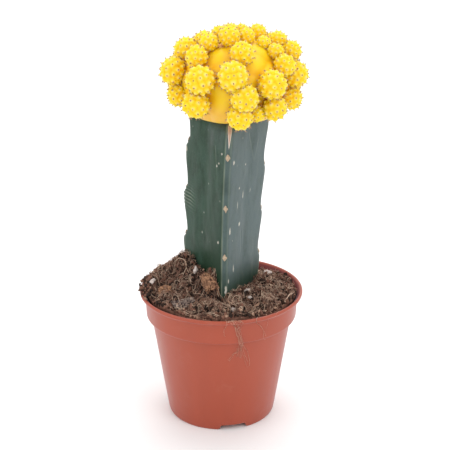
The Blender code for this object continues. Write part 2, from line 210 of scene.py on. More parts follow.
def noise(points, cell, seed=0):
    """Smooth value noise: the lattice's random numbers, blended by a cubic ease in each cell."""
    scaled = np.asarray(points) / cell + 512.0
    corner = np.floor(scaled).astype(np.int64)
    part = scaled - corner
    part = part * part * (3.0 - 2.0 * part)
    total = 0.0
    for step in np.ndindex(2, 2, 2):
        weight = np.prod(np.where(step, part, 1.0 - part), axis=-1)
        total = total + weight * hashed(corner + np.array(step), seed)
    return total


def layered_noise(points, cell, layers, seed=0):
    """Value noise summed over layers, each half the size and half the height of the last."""
    return sum(noise(points, cell / 2**layer, seed + layer) / 2**layer for layer in range(layers))


def unit(vectors):
    """Each vector divided by its own length."""
    return vectors / np.maximum(np.linalg.norm(vectors, axis=-1, keepdims=True), 1e-12)


def round_turn(number):
    """Evenly spaced angles once round, the first one 0."""
    return np.arange(number) / number * math.tau


def from_nearest(bearing, spacing):
    """The angle from a bearing to the nearest multiple of the spacing."""
    return np.abs((bearing + spacing / 2) % spacing - spacing / 2)


def beside_axis(bearing, radius):
    """x and y at a bearing and a radius from the axis."""
    return radius * np.sin(bearing), -radius * np.cos(bearing)


def on_bearing(bearing, radius, height):
    """Points at a bearing and a radius from the axis."""
    return np.stack(np.broadcast_arrays(*beside_axis(bearing, radius), height), axis=-1)


def globe(polar, around):
    """Points of a ball of radius 1, by the angle from its pole and the turn round it."""
    parts = np.sin(polar) * np.cos(around), np.sin(polar) * np.sin(around), np.cos(polar)
    return np.stack(np.broadcast_arrays(*parts), axis=-1)


def ring_quads(rows, columns):
    """Quads between neighbouring rings of a grid whose columns run all the way round."""
    index = np.arange(rows * columns).reshape(rows, columns)
    after = np.roll(index, -1, axis=1)
    return np.stack([index[:-1], after[:-1], after[1:], index[1:]], axis=-1).reshape(-1, 4)


def closed_surface(rings):
    """Points and faces of stacked rings, closed by a point in the middle of each end ring."""
    rows, columns, _ = rings.shape
    points = np.concatenate([rings.reshape(-1, 3), rings[:1].mean(axis=1), rings[-1:].mean(axis=1)])
    first = np.arange(columns)
    after = np.roll(first, -1)
    low = np.full(columns, rows * columns)
    start = (rows - 1) * columns
    low_fan = np.stack([after, first, low], axis=-1)
    high_fan = np.stack([start + first, start + after, low + 1], axis=-1)
    return points, [ring_quads(rows, columns), low_fan, high_fan]


def with_ends(values):
    """A grid of values for the rings of a closed surface, with those of its two end points."""
    return np.concatenate([values.ravel(), [values[0].mean(), values[-1].mean()]])


def frames_along(paths):
    """Two unit vectors square to each path at each of its points."""
    along = unit(np.gradient(paths, axis=1))
    reference = np.where(np.abs(along[..., 2:]) > 0.9, [1.0, 0.0, 0.0], [0.0, 0.0, 1.0])
    side = unit(np.cross(along, reference))
    return side, np.cross(side, along)


def tubes(paths, radii, sides):
    """Tubes along many paths at once: a ring of sides round each point, and a cap at each end."""
    side, over = frames_along(paths)
    turn = round_turn(sides)
    circle = side[:, :, None] * np.cos(turn)[:, None] + over[:, :, None] * np.sin(turn)[:, None]
    rings = paths[:, :, None] + circle * radii[:, :, None, None]
    number, length_steps = paths.shape[:2]
    block = length_steps * sides
    first = (np.arange(number) * block)[:, None, None]
    walls = (ring_quads(length_steps, sides)[None] + first).reshape(-1, 4)
    start_cap = np.arange(sides)[::-1][None] + first[:, 0]
    end_cap = np.arange(sides)[None] + first[:, 0] + block - sides
    return rings.reshape(-1, 3), [walls[:, ::-1], start_cap[:, ::-1], end_cap[:, ::-1]]


def icosahedron():
    """The twelve corners and twenty faces of an icosahedron of radius 1."""
    wide = (1.0 + math.sqrt(5.0)) / 2.0
    corners = [(-1, wide, 0), (1, wide, 0), (-1, -wide, 0), (1, -wide, 0),
               (0, -1, wide), (0, 1, wide), (0, -1, -wide), (0, 1, -wide),
               (wide, 0, -1), (wide, 0, 1), (-wide, 0, -1), (-wide, 0, 1)]
    faces = [(0, 11, 5), (0, 5, 1), (0, 1, 7), (0, 7, 10), (0, 10, 11), (1, 5, 9), (5, 11, 4),
             (11, 10, 2), (10, 7, 6), (7, 1, 8), (3, 9, 4), (3, 4, 2), (3, 2, 6), (3, 6, 8),
             (3, 8, 9), (4, 9, 5), (2, 4, 11), (6, 2, 10), (8, 6, 7), (9, 8, 1)]
    return unit(np.array(corners, float)), np.array(faces)


def grains(centres, sizes, turns, shake, random):
    """Many rough grains: an icosahedron stretched, shaken, turned and moved to each centre."""
    corners, faces = icosahedron()
    shaken = random.uniform(1 - shake, 1 + shake, (len(centres), 12, 1))
    bodies = corners[None] * sizes[:, None] * shaken
    points = centres[:, None] + np.einsum("gij,gvj->gvi", turns, bodies)
    joined = (faces[None] + (np.arange(len(centres)) * 12)[:, None, None]).reshape(-1, 3)
    return points.reshape(-1, 3), [joined]


def random_turns(number, random):
    """Rotation matrices from random unit quaternions."""
    w, x, y, z = unit(random.normal(size=(number, 4))).T
    rows = [[1 - 2 * (y * y + z * z), 2 * (x * y - z * w), 2 * (x * z + y * w)],
            [2 * (x * y + z * w), 1 - 2 * (x * x + z * z), 2 * (y * z - x * w)],
            [2 * (x * z - y * w), 2 * (y * z + x * w), 1 - 2 * (x * x + y * y)]]
    return np.moveaxis(np.array(rows), -1, 0)


def turns_facing(normals):
    """Rotation matrices that carry +Z to each normal."""
    reference = np.where(np.abs(normals[:, 2:]) > 0.9, [1.0, 0.0, 0.0], [0.0, 0.0, 1.0])
    side = unit(np.cross(reference, normals))
    return np.stack([side, np.cross(normals, side), normals], axis=-1)


def spikes(bases, directions, lengths, radius):
    """Many three-sided needles, each four points: a small triangle and a tip."""
    turns = turns_facing(directions)
    corner = round_turn(3)
    foot = np.stack([np.cos(corner), np.sin(corner), np.zeros(3)], axis=-1) * radius
    triangles = bases[:, None] + np.einsum("sij,vj->svi", turns, foot)
    tips = (bases + directions * lengths[:, None])[:, None]
    points = np.concatenate([triangles, tips], axis=1).reshape(-1, 3)
    faces = np.array([(2, 1, 0), (0, 1, 3), (1, 2, 3), (2, 0, 3)])
    return points, [(faces[None] + (np.arange(len(bases)) * 4)[:, None, None]).reshape(-1, 3)]


def merged(parts):
    """Several (points, faces) shapes as one."""
    points, faces, first = [], [], 0
    for part_points, part_faces in parts:
        points.append(part_points)
        faces.extend(block + first for block in part_faces)
        first += len(part_points)
    return np.concatenate(points), faces


def add_object(name, data):
    """A new object in the scene, at the origin."""
    made = bpy.data.objects.new(name, data)
    bpy.context.scene.collection.objects.link(made)
    return made


def add_piece(name, points, faces, material, slot, replaces=(), smooth=True, **attributes):
    """Put arrays of points and faces into a mesh that rides on the plant's one body."""
    mesh = bpy.data.meshes.new(name)
    corners = np.concatenate([block.ravel() for block in faces])
    sizes = np.concatenate([np.full(len(block), block.shape[1]) for block in faces])
    mesh.vertices.add(len(points))
    mesh.vertices.foreach_set("co", points.astype(np.float32).ravel())
    mesh.loops.add(len(corners))
    mesh.loops.foreach_set("vertex_index", corners.astype(np.int32))
    mesh.polygons.add(len(sizes))
    mesh.polygons.foreach_set("loop_start", (np.cumsum(sizes) - sizes).astype(np.int32))
    mesh.update(calc_edges=True)
    for label, values in attributes.items():
        layer = mesh.attributes.new(label, "FLOAT", "POINT")
        layer.data.foreach_set("value", np.asarray(values, np.float32).ravel())
    if mesh.validate():
        raise RuntimeError(f"{name} has faces that cannot be")
    if smooth:
        mesh.shade_smooth()
    else:
        mesh.shade_flat()
    mesh.materials.append(material)
    piece = add_object(name, mesh)
    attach(piece, "root")
    if replaces:
        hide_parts(*replaces)
    return piece


def node_points(node):
    """The vertices of a CAD node as an array."""
    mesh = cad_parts[node].data
    points = np.empty(len(mesh.vertices) * 3, np.float32)
    mesh.vertices.foreach_get("co", points)
    return points.reshape(-1, 3).astype(float)


# ---------------------------------------------------------------- materials

class Finish:
    """A Principled material and short calls for the nodes that feed it."""

    def __init__(self, name, roughness, specular=0.5):
        self.material = bpy.data.materials.new(name)
        self.material.use_nodes = True
        self.tree = self.material.node_tree
        self.shader = self.tree.nodes["Principled BSDF"]
        self.shader.inputs["Roughness"].default_value = roughness
        self.shader.inputs["Specular IOR Level"].default_value = specular
        self.place = self.tree.nodes.new("ShaderNodeTexCoord").outputs["Object"]

    def node(self, kind, settings=None, **inputs):
        """A new node: its settings, then its inputs by name, with _ for a space."""
        made = self.tree.nodes.new(kind)
        for key, value in (settings or {}).items():
            setattr(made, key, value)
        for key, value in inputs.items():
            self.feed(made.inputs[key.replace("_", " ")], value)
        return made

    def feed(self, socket, value):
        """Link a socket to another, or give it a number or a colour."""
        if isinstance(value, bpy.types.NodeSocket):
            self.tree.links.new(value, socket)
        elif hasattr(value, "__len__") and len(value) == 3 and socket.type == "RGBA":
            socket.default_value = (*value, 1.0)
        else:
            socket.default_value = value

    def attribute(self, name):
        """The value that each point of the piece carries under a name."""
        return self.node("ShaderNodeAttribute", {"attribute_name": name}).outputs["Fac"]

    def stretched(self, x, y, z):
        """The place on the piece with each axis scaled, so that a pattern runs along one."""
        return self.node("ShaderNodeMapping", Vector=self.place, Scale=(x, y, z)).outputs["Vector"]

    def speckle(self, scale, detail=4.0, roughness=0.55, vector=None):
        """Cloudy noise from 0 to 1, of so many cells to the metre."""
        return self.node("ShaderNodeTexNoise", Vector=vector or self.place, Scale=scale,
                         Detail=detail, Roughness=roughness).outputs["Fac"]

    def cells(self, scale, vector=None):
        """The distance to the nearest of many scattered points, against the cell's width."""
        made = self.node("ShaderNodeTexVoronoi", Vector=vector or self.place, Scale=scale)
        return made.outputs["Distance"]

    def between(self, value, low, high, bottom=0.0, top=1.0):
        """The value's range from low to high, made 0 to 1 or bottom to top, and held there."""
        made = self.node("ShaderNodeMapRange", {"interpolation_type": "SMOOTHSTEP"}, Value=value)
        ends = {"From Min": low, "From Max": high, "To Min": bottom, "To Max": top}
        for key, number in ends.items():
            made.inputs[key].default_value = number
        return made.outputs["Result"]

    def blend(self, amount, first, second):
        """The first colour where the amount is 0 and the second where it is 1."""
        made = self.node("ShaderNodeMix", {"data_type": "RGBA"})
        for socket, value in ((0, amount), (6, first), (7, second)):
            self.feed(made.inputs[socket], value)
        return made.outputs[2]

    def mark(self, under, amount, strength, tint):
        """A colour, tinted to the given strength where the amount is 1."""
        return self.blend(self.times(amount, strength), under, tint)

    def times(self, first, second):
        """The first value multiplied by the second."""
        made = self.node("ShaderNodeMath", {"operation": "MULTIPLY"})
        self.feed(made.inputs[0], first)
        self.feed(made.inputs[1], second)
        return made.outputs[0]

    def bump(self, height, depth, strength=1.0, under=None):
        """A normal tilted by a height, over the normal under it."""
        made = self.node("ShaderNodeBump", Height=height, Distance=depth, Strength=strength)
        if under:
            self.feed(made.inputs["Normal"], under)
        return made.outputs["Normal"]

    def wear(self, colour_value, normal=None, roughness=None):
        """Give the shader its colour, normal and roughness, and hand back the material."""
        self.feed(self.shader.inputs["Base Color"], colour_value)
        if normal:
            self.feed(self.shader.inputs["Normal"], normal)
        if roughness:
            self.feed(self.shader.inputs["Roughness"], roughness)
        return self.material

    def flesh(self, weight, depth, tints):
        """Light that enters the skin and comes out near by: per colour, depth times its tint."""
        self.shader.inputs["Subsurface Weight"].default_value = weight
        self.shader.inputs["Subsurface Radius"].default_value = tints
        self.shader.inputs["Subsurface Scale"].default_value = depth


def plastic_finish(settings):
    """Moulded plastic with faint vertical flow marks, a fine grain, light scuffs and painted shade
    on the inner wall.
    """
    finish = Finish("terracotta_plastic", 0.42, 0.5)
    flow = finish.speckle(90.0, 3.0, vector=finish.stretched(1.0, 1.0, 0.06))
    scuff = finish.between(finish.speckle(60.0, 6.0, 0.7), 0.56, 0.74)
    grain = finish.speckle(2600.0, 2.0)
    body = finish.blend(finish.between(flow, 0.35, 0.65), settings.plastic,
                        [part * 1.06 for part in settings.plastic])
    body = finish.mark(body, scuff, 0.10, settings.scuff)
    # Painted shade: a deeper red where inside is 1, on the inner wall.
    shown = finish.blend(finish.attribute("inside"), body, settings.inside)
    normal = finish.bump(grain, 0.05 * MM, 0.35)
    normal = finish.bump(flow, 0.2 * MM, 0.2, normal)
    sheen = {"Sheen Weight": 0.17, "Sheen Roughness": 0.35, "Sheen Tint": (0.74, 0.84, 1.0, 1.0)}
    for key, value in sheen.items():
        finish.shader.inputs[key].default_value = value
    return finish.wear(shown, normal, finish.between(flow, 0.3, 0.7, 0.34, 0.46))


def mix_finish(settings, name):
    """Crumbs from dark peat through reddish bark to dry tan, by each crumb's own tone."""
    finish = Finish(name, 0.9, 0.25)
    tone = finish.attribute("tone")
    mottle = finish.speckle(900.0, 5.0, 0.7)
    shown = finish.blend(finish.between(tone, 0.15, 0.55), settings.peat, settings.bark)
    shown = finish.blend(finish.between(tone, 0.62, 0.95), shown, settings.tan)
    shown = finish.blend(finish.between(mottle, 0.42, 0.72, 0.0, 0.5), shown, settings.peat)
    return finish.wear(shown, finish.bump(mottle, 0.4 * MM, 0.7))


def straw_finish(settings):
    """Dry fibres, from dark brown to straw, with streaks along them."""
    finish = Finish("dry_fibre", 0.75, 0.3)
    tone = finish.attribute("tone")
    shown = finish.blend(tone, settings.bark, settings.straw)
    speck = finish.speckle(1500.0, 3.0)
    shown = finish.blend(finish.between(speck, 0.5, 0.8, 0.0, 0.35), shown, settings.peat)
    return finish.wear(shown, finish.bump(speck, 0.1 * MM, 0.5))


def stock_finish(settings):
    """Waxy green skin: bloom on its faces with a painted reflection on the right one, painted shade
    towards the soil, flecks, healed scars, and the strip on the front rib.
    """
    finish = Finish("stock_skin", 0.46, 0.14)
    cloud = finish.speckle(150.0, 6.0, 0.65, finish.stretched(1.0, 1.0, 0.55))
    pore = finish.speckle(1100.0, 5.0, 0.7)
    streak = finish.speckle(300.0, 4.0, 0.65, finish.stretched(1.0, 1.0, 0.12))
    # Bloom, with the painted reflection on the right face, mixed in by the bloom amount.
    wax_and_sheen = finish.times(finish.attribute("bloom"), finish.between(cloud, 0.25, 0.6, 0.62, 1.0))
    shown = finish.blend(finish.between(cloud, 0.32, 0.62), settings.shade, settings.skin)
    shown = finish.blend(wax_and_sheen, shown, settings.bloom)
    shown = finish.mark(shown, finish.between(streak, 0.52, 0.75), 0.07, settings.bloom)
    shown = finish.mark(shown, finish.between(pore, 0.52, 0.72), 0.24, settings.bloom)
    shown = finish.mark(shown, finish.between(pore, 0.45, 0.3), 0.35, settings.shade)
    cell = finish.cells(330.0, finish.stretched(1.0, 1.0, 0.6))
    rare = finish.between(finish.speckle(190.0, 3.0), 0.60, 0.67)
    fleck = finish.times(finish.between(cell, 0.22, 0.10), rare)
    # Painted shade: deeper green towards the soil.
    shown = finish.blend(finish.attribute("foot"), shown, settings.shade)
    # Pale wear, and the painted highlight on the wrinkles' crests.
    shown = finish.blend(finish.attribute("edge"), shown, settings.worn_and_highlight)
    shown = finish.mark(shown, fleck, 0.55, settings.fleck)
    shown = finish.blend(finish.attribute("scar"), shown, settings.healed)
    dry = finish.speckle(700.0, 4.0, 0.6, finish.stretched(1.0, 1.0, 0.08))
    strip = finish.blend(finish.between(dry, 0.4, 0.65), settings.cut, settings.cut_grain)
    depth = finish.attribute("strip")
    shown = finish.blend(finish.between(depth, 0.05, 0.35), shown, settings.cut_rim)
    shown = finish.blend(finish.between(depth, 0.60, 0.85), shown, strip)
    normal = finish.bump(pore, 0.12 * MM, 0.5)
    normal = finish.bump(streak, 0.2 * MM, 0.25, normal)
    finish.flesh(0.12, 1.0 * MM, (0.6, 1.0, 0.4))
    return finish.wear(shown, normal, finish.between(cloud, 0.3, 0.7, 0.34, 0.5))


def cork_finish(settings):
    """Dull cork with a rough pale grain."""
    finish = Finish("areole_cork", 0.85, 0.3)
    grain = finish.speckle(1800.0, 4.0, 0.7)
    shown = finish.blend(finish.between(grain, 0.35, 0.7), settings.cork, settings.cork_grain)
    return finish.wear(shown, finish.bump(grain, 0.25 * MM, 0.8))


def scion_finish(settings):
    """Translucent yellow skin, orange in the creases as painted shade, and apricot towards the
    graft.
    """
    finish = Finish("scion_skin", 0.45, 0.28)
    cloud = finish.speckle(160.0, 4.0)
    pore = finish.speckle(1500.0, 3.0)
    # Painted shade: the valley colour where rise is low.
    shown = finish.blend(finish.attribute("rise"), settings.valley_shade, settings.skin)
    shown = finish.mark(shown, finish.between(cloud, 0.45, 0.7), 0.3, settings.lower)
    shown = finish.blend(finish.attribute("low"), shown, settings.lower)
    finish.flesh(0.6, 4.0 * MM, (1.0, 0.75, 0.15))
    return finish.wear(shown, finish.bump(pore, 0.08 * MM, 0.4))


def offset_finish(settings):
    """Translucent lemon skin: orange-yellow in the valleys and at the foot as painted shade, and
    pale at the tubercles' tips.
    """
    finish = Finish("offset_skin", 0.52, 0.30)
    rise = finish.attribute("rise")
    cloud = finish.speckle(220.0, 3.0)
    pore = finish.speckle(1900.0, 3.0)
    # Painted shade: the valley colour where rise is low.
    shown = finish.blend(finish.between(rise, 0.0, 0.5), settings.valley_shade, settings.skin)
    shown = finish.blend(finish.between(rise, 0.45, 1.0), shown, settings.tip)
    shown = finish.mark(shown, finish.between(cloud, 0.5, 0.75), 0.25, settings.valley_shade)
    # Painted shade: the offset's foot, where it meets the scion, takes the valley colour.
    shown = finish.mark(shown, finish.attribute("base"), 0.75, settings.valley_shade)
    finish.flesh(0.9, 4.2 * MM, (1.0, 0.85, 0.12))
    return finish.wear(shown, finish.bump(pore, 0.06 * MM, 0.4))


def felt_finish(name, tint, paler):
    """Felt, spines or rootlets: two tints mixed by a fine grain."""
    finish = Finish(name, 0.85, 0.25)
    grain = finish.speckle(1600.0, 3.0, 0.7)
    return finish.wear(finish.blend(finish.between(grain, 0.40, 0.62), tint, paler),
                       finish.bump(grain, 0.08 * MM, 0.6))


def chip_finish(name, dark, light, scale):
    """Layered bark or wood: bands across the flake, with dark cracks."""
    finish = Finish(name, 0.82, 0.3)
    layer = finish.speckle(scale, 6.0, 0.7, finish.stretched(1.0, 0.35, 1.6))
    crack = finish.speckle(scale * 3.0, 4.0, 0.7)
    shown = finish.blend(finish.between(layer, 0.36, 0.62), dark, light)
    deepest = [part * 0.25 for part in dark]
    shown = finish.blend(finish.between(crack, 0.47, 0.62, 0.0, 0.85), shown, deepest)
    return finish.wear(shown, finish.bump(layer, 0.5 * MM, 0.8))


def perlite_finish():
    """A porous off-white grain, dusty brown in its pores."""
    finish = Finish("perlite", 0.9, 0.3)
    pore = finish.cells(1300.0)
    dusty, clean = (0.30, 0.23, 0.20), (0.58, 0.50, 0.46)
    shown = finish.blend(finish.between(pore, 0.1, 0.5), dusty, clean)
    return finish.wear(shown, finish.bump(pore, 0.3 * MM, 0.6))


# ---------------------------------------------------------------- pot

def softened(profile, passes):
    """Corner cutting: each pass keeps the points a quarter in from both ends of every edge."""
    for _ in range(passes):
        ahead = profile[:-1] * 0.75 + profile[1:] * 0.25
        behind = profile[:-1] * 0.25 + profile[1:] * 0.75
        inner = np.stack([ahead, behind], axis=1).reshape(-1, 2)
        profile = np.concatenate([profile[:1], inner, profile[-1:]])
    return profile


def pot_profile(pot):
    """Radius and height from the underside's middle, up the outside, over and down inside."""
    top, ledge, floor = pot.height, pot.ledge_height, pot.floor
    lip, collar, body, base = pot.lip_radius, pot.collar_radius, pot.body_radius, pot.base_radius
    foot = pot.foot_radius
    inner_collar, inner_body, inner_base = collar - pot.wall, body - pot.wall, base - pot.wall
    corners = np.array([
        # a radius and the millimetres past it; a height and the millimetres above it
        (0.0, 0.6, floor, 0.0), (foot, -4.0, floor, 0.0), (foot, -2.0, floor, -0.1),
        (foot, -1.6, 0.0, 0.7), (foot, -1.5, 0.0, 0.0), (foot, -1.3, 0.0, 0.0),
        (foot, -0.2, 0.0, 0.0), (foot, 0.0, 0.0, 0.0), (foot, 0.5, 0.0, 0.8),
        (base, 0.0, 0.0, 3.4), (base, 0.3, 0.0, 5.4), (body, -0.4, ledge, -2.6),
        (body, -0.1, ledge, -0.9), (body, 0.3, ledge, -0.1), (collar, -2.0, ledge, 0.1),
        (collar, -0.9, ledge, 0.2), (collar, -0.5, ledge, 1.0), (collar, -0.45, ledge, 2.2),
        (collar, -0.1, top, -6.0), (collar, 0.0, top, -4.2), (collar, 0.25, top, -3.2),
        (collar, 1.1, top, -2.4), (lip, -0.6, top, -2.0), (lip, -0.1, top, -1.6),
        (lip, 0.0, top, -1.0), (lip, -0.05, top, -0.4), (lip, -0.5, top, 0.0),
        (lip, -1.2, top, -0.05), (lip, -2.2, top, -1.2), (inner_collar, 0.2, top, -2.8),
        (inner_collar, 0.0, top, -4.5), (inner_collar, -0.5, ledge, 2.0),
        (inner_collar, -1.2, ledge, 1.0), (body, -0.2, ledge, 0.8),
        (inner_body, -0.1, ledge, -0.9), (inner_base, 0.0, floor, 2.4),
        (inner_base, -1.0, floor, 0.9), (0.0, 0.6, floor, 0.9),
    ])
    return softened(corners[:, 0::2] + corners[:, 1::2] * MM, 2)


def in_notch(pot, bearing):
    """1 inside the foot's three notches, 0 outside, with leaning sides."""
    from_middle = from_nearest(bearing - pot.notch_bearing, THIRD)
    return 1.0 - smoothstep(pot.notch_half_angle, pot.notch_half_angle * 1.25, from_middle)


def drills(pot, holes=6, sides=24):
    """A ring of upright drills through the floor, as closed stacks of four rings each."""
    circle = np.stack([np.cos(round_turn(sides)), np.sin(round_turn(sides))], axis=-1)
    heights = np.array([-1.0, -1.0, 2.0, 2.0]) * MM + pot.floor
    spread = np.array([0.5, 1.0, 1.0, 0.5]) * pot.drain_radius
    shapes = []
    for middle in on_bearing(round_turn(holes), pot.drain_circle, 0.0):
        rings = np.empty((4, sides, 3))
        rings[..., :2] = middle[:2] + circle * spread[:, None, None]
        rings[..., 2] = heights[:, None]
        shapes.append(closed_surface(rings))
    return merged(shapes)


def drill_floor(piece, pot):
    """Cut the drainage holes and keep the result in the piece's own mesh."""
    drill = add_piece("drill", *drills(pot), piece.data.materials[0], "terracotta_plastic")
    cut = piece.modifiers.new("drainage", "BOOLEAN")
    cut.operation = "DIFFERENCE"
    cut.solver = "EXACT"
    cut.object = drill
    bpy.context.view_layer.update()
    finished = piece.evaluated_get(bpy.context.evaluated_depsgraph_get())
    drilled = bpy.data.meshes.new_from_object(finished)
    piece.modifiers.remove(cut)
    piece.data = drilled
    bpy.data.objects.remove(drill)


class CACTUS_OT_pot(bpy.types.Operator):
    """Turn the nursery pot from its profile, with a notched foot and drainage holes"""
    bl_idname = "cactus.pot"
    bl_label = "Nursery pot"

    def execute(self, context):
        pot = context.scene.cactus_pot
        profile = pot_profile(pot)
        bearing = round_turn(224)
        radius, height = profile[:, :1], profile[:, 1:]
        near_foot = smoothstep(pot.foot_radius - 2.4 * MM, pot.foot_radius - 1.9 * MM, radius)
        near_foot = near_foot * (height < pot.notch_height)
        lifted = np.maximum(height, pot.notch_height * in_notch(pot, bearing)[None] * near_foot)
        rings = on_bearing(bearing[None], radius, lifted)
        inner = np.arange(len(profile)) > np.argmax(profile[:, 1])
        # 1 down the inner wall, where the painted shade is laid.
        inside = smoothstep(0.1 * MM, 1.2 * MM, pot.height - height) * inner[:, None]
        points, faces = closed_surface(rings)
        values = with_ends(np.broadcast_to(inside, rings.shape[:2]))
        piece = add_piece("nursery_pot", points, faces, plastic_finish(pot), "terracotta_plastic",
                          ["pot"], inside=values)
        drill_floor(piece, pot)
        return {"FINISHED"}


# ---------------------------------------------------------------- potting mix

HEAPS = np.array([
    # centre x and y, height and spread, in mm
    (-18.0, 5.0, 15.0, 9.6), (-9.0, -8.5, 6.0, 5.5), (-2.4, -16.2, 12.0, 3.9),
    (-37.5, -3.0, 6.5, 6.5), (-1.8, -22.6, -3.0, 2.0), (-6.5, -20.0, -3.0, 1.8),
    (30.8, -10.2, -1.6, 3.0), (5.0, -38.0, 2.3, 10.0), (33.5, -19.0, 2.0, 9.5),
    (-28.0, -27.0, 2.5, 8.5), (18.0, 36.0, -2.9, 12.0), (39.0, 6.0, -1.3, 8.0),
]) * MM
CLOD = 4.8 * MM
SPILL_BEARINGS = -118, -66
SPILL_REACH = 43.7 * MM
STEM_CLEARANCE = 13.5 * MM


def mix_height(mix, x, y):
    """Height of the mix: a dome that falls to the wall, bell-shaped heaps, and clods of noise."""
    outward = (x * x + y * y) / mix.radius**2
    height = mix.edge_height + mix.dome * np.maximum(0.0, 1.0 - outward)
    for centre_x, centre_y, rise, spread in HEAPS:
        apart = (x - centre_x) ** 2 + (y - centre_y) ** 2
        height = height + rise * np.exp(-apart / (2 * spread**2))
    flat = np.stack(np.broadcast_arrays(x, y, 0.0 * x), axis=-1)
    clods = layered_noise(flat, CLOD, 3, 11) * mix.roughness
    return height + clods * smoothstep(1.0, 0.93, np.sqrt(outward))


def mix_bed(mix):
    """The bed under the crumbs: a plug that fills the collar, with a lumpy top."""
    rows, columns = 90, 240
    bearing = round_turn(columns)
    out = np.linspace(1.0, 0.015, rows)[:, None] ** 0.8
    x, y = beside_axis(bearing, mix.radius * out)
    top = np.stack([x, y, mix_height(mix, x, y) - 0.5 * MM], axis=-1)
    depths = mix.edge_height - np.array([[14.0], [10.0], [3.0]]) * MM
    side = on_bearing(bearing, np.array([[34.5], [38.1], [38.4]]) * MM, depths)
    tone = 0.12 + 0.2 * layered_noise(top, 2.0 * MM, 3, 5) + 0.38 * smoothstep(0.86, 0.95, out)
    tone = np.concatenate([np.full((len(depths), columns), 0.1), tone])
    points, faces = closed_surface(np.concatenate([side, top]))
    return points, faces, with_ends(tone)


def paler_at_front(y):
    """The mix is paler along the front wall: 0 in the middle, 1 there."""
    return smoothstep(-20 * MM, -35 * MM, y)


def scattered(mix, number, random, reach=1.0):
    """Random places on the mix, spread evenly by area."""
    bearing = random.uniform(0, math.tau, number)
    radius = mix.radius * reach * np.sqrt(random.uniform(0, 1, number))
    return beside_axis(bearing, radius)


def mix_crumbs(mix, random):
    """Crumbs of mixed sizes, half sunk in the bed, more at the wall, and a spill on the lip."""
    edge, spill = int(mix.crumbs * 0.11), int(mix.crumbs * 0.06)
    places = [scattered(mix, mix.crumbs, random, 0.995)]
    bearing, out = random.uniform(0, math.tau, edge), random.uniform(0.955, 0.999, edge)
    places.append(beside_axis(bearing, mix.radius * out))
    bearing = np.radians(random.uniform(*SPILL_BEARINGS, spill))
    radius = (37.0 + 5.9 * random.uniform(0, 1, spill) ** 1.2) * MM
    places.append(beside_axis(bearing, radius))
    x, y = np.concatenate(places, axis=1)
    size = (0.25 + 1.15 * random.uniform(0, 1, len(x)) ** 5) * MM
    height = mix_height(mix, x, y) + (random.uniform(0, 1, len(x)) ** 2.2 * 1.9 - 0.5) * MM
    from_axis = np.hypot(x, y)
    height = np.minimum(height, POT_HEIGHT + SPILL_REACH - from_axis)
    keep = (from_axis < mix.radius) | (height > POT_HEIGHT + 0.4 * MM)
    x, y, size, height = x[keep], y[keep], size[keep], height[keep]
    stretch = size[:, None] * random.uniform([0.8, 0.6, 0.45], [1.6, 1.1, 0.9], (len(x), 3))
    centres = np.stack([x, y, height], axis=-1)
    points, faces = grains(centres, stretch, random_turns(len(x), random), 0.28, random)
    tone = random.beta(0.60, 0.85, len(x)) * (1.0 - 0.35 * smoothstep(0.6 * MM, 1.2 * MM, size))
    return points, faces, np.repeat(tone + 0.14 * paler_at_front(y), 12)


def mix_paths(mix, number, random, longest, steps, curl, most_lift=2.0):
    """Paths that wander over the mix and bend along the wall: a heading that drifts and wiggles."""
    def each(low, high):
        return random.uniform(low, high, (number, 1))

    part = np.linspace(0, 1, steps)[None]
    x, y = scattered(mix, number, random, 0.97)
    heading = each(0, math.tau) + random.normal(0, curl, (number, 1)) * (part - 0.5)
    wiggle = random.normal(0, curl * 0.35, (number, 1))
    heading = heading + wiggle * np.sin(math.tau * (part * each(0.6, 2.0) + each(0, 1)))
    stride = longest * each(0.3, 1.0) / steps
    x = x[:, None] + np.cumsum(np.cos(heading), axis=1) * stride
    y = y[:, None] + np.cumsum(np.sin(heading), axis=1) * stride
    past = np.maximum(1.0, np.hypot(x, y) / (mix.radius - 0.4 * MM))
    x, y = x / past, y / past
    arch = each(0.0, most_lift) * np.sin(math.pi * part * each(0.5, 1.0))
    z = mix_height(mix, x, y) + (arch + each(0.0, 1.3)) * MM
    clear = np.hypot(x - 0.8 * MM, y).min(axis=1) > STEM_CLEARANCE
    return np.stack([x, y, z], axis=-1)[clear]


def mix_fibres(mix, random):
    """Fine curly fibres and thicker straws, thin at both ends."""
    steps = 10
    fine = mix_paths(mix, mix.fibres, random, 8.5 * MM, steps, 3.2)
    coarse = mix_paths(mix, mix.straws, random, 13.0 * MM, steps, 2.2, 2.5)
    taper = 0.35 + 0.65 * np.sin(math.pi * np.linspace(0.04, 0.96, steps))
    fine_radii = random.uniform(0.06, 0.13, (len(fine), 1)) * MM * taper
    coarse_radii = random.uniform(0.12, 0.22, (len(coarse), 1)) * MM * taper
    paths, radii = np.concatenate([fine, coarse]), np.concatenate([fine_radii, coarse_radii])
    points, faces = tubes(paths, radii, 3)
    tone = random.beta(0.36, 0.90, len(fine)), random.uniform(0.4, 1.0, len(coarse))
    tone = np.concatenate(tone)
    tone = tone + 0.20 * paler_at_front(paths[:, :, 1].mean(axis=1))
    return points, faces, np.repeat(tone, len(points) // len(paths))


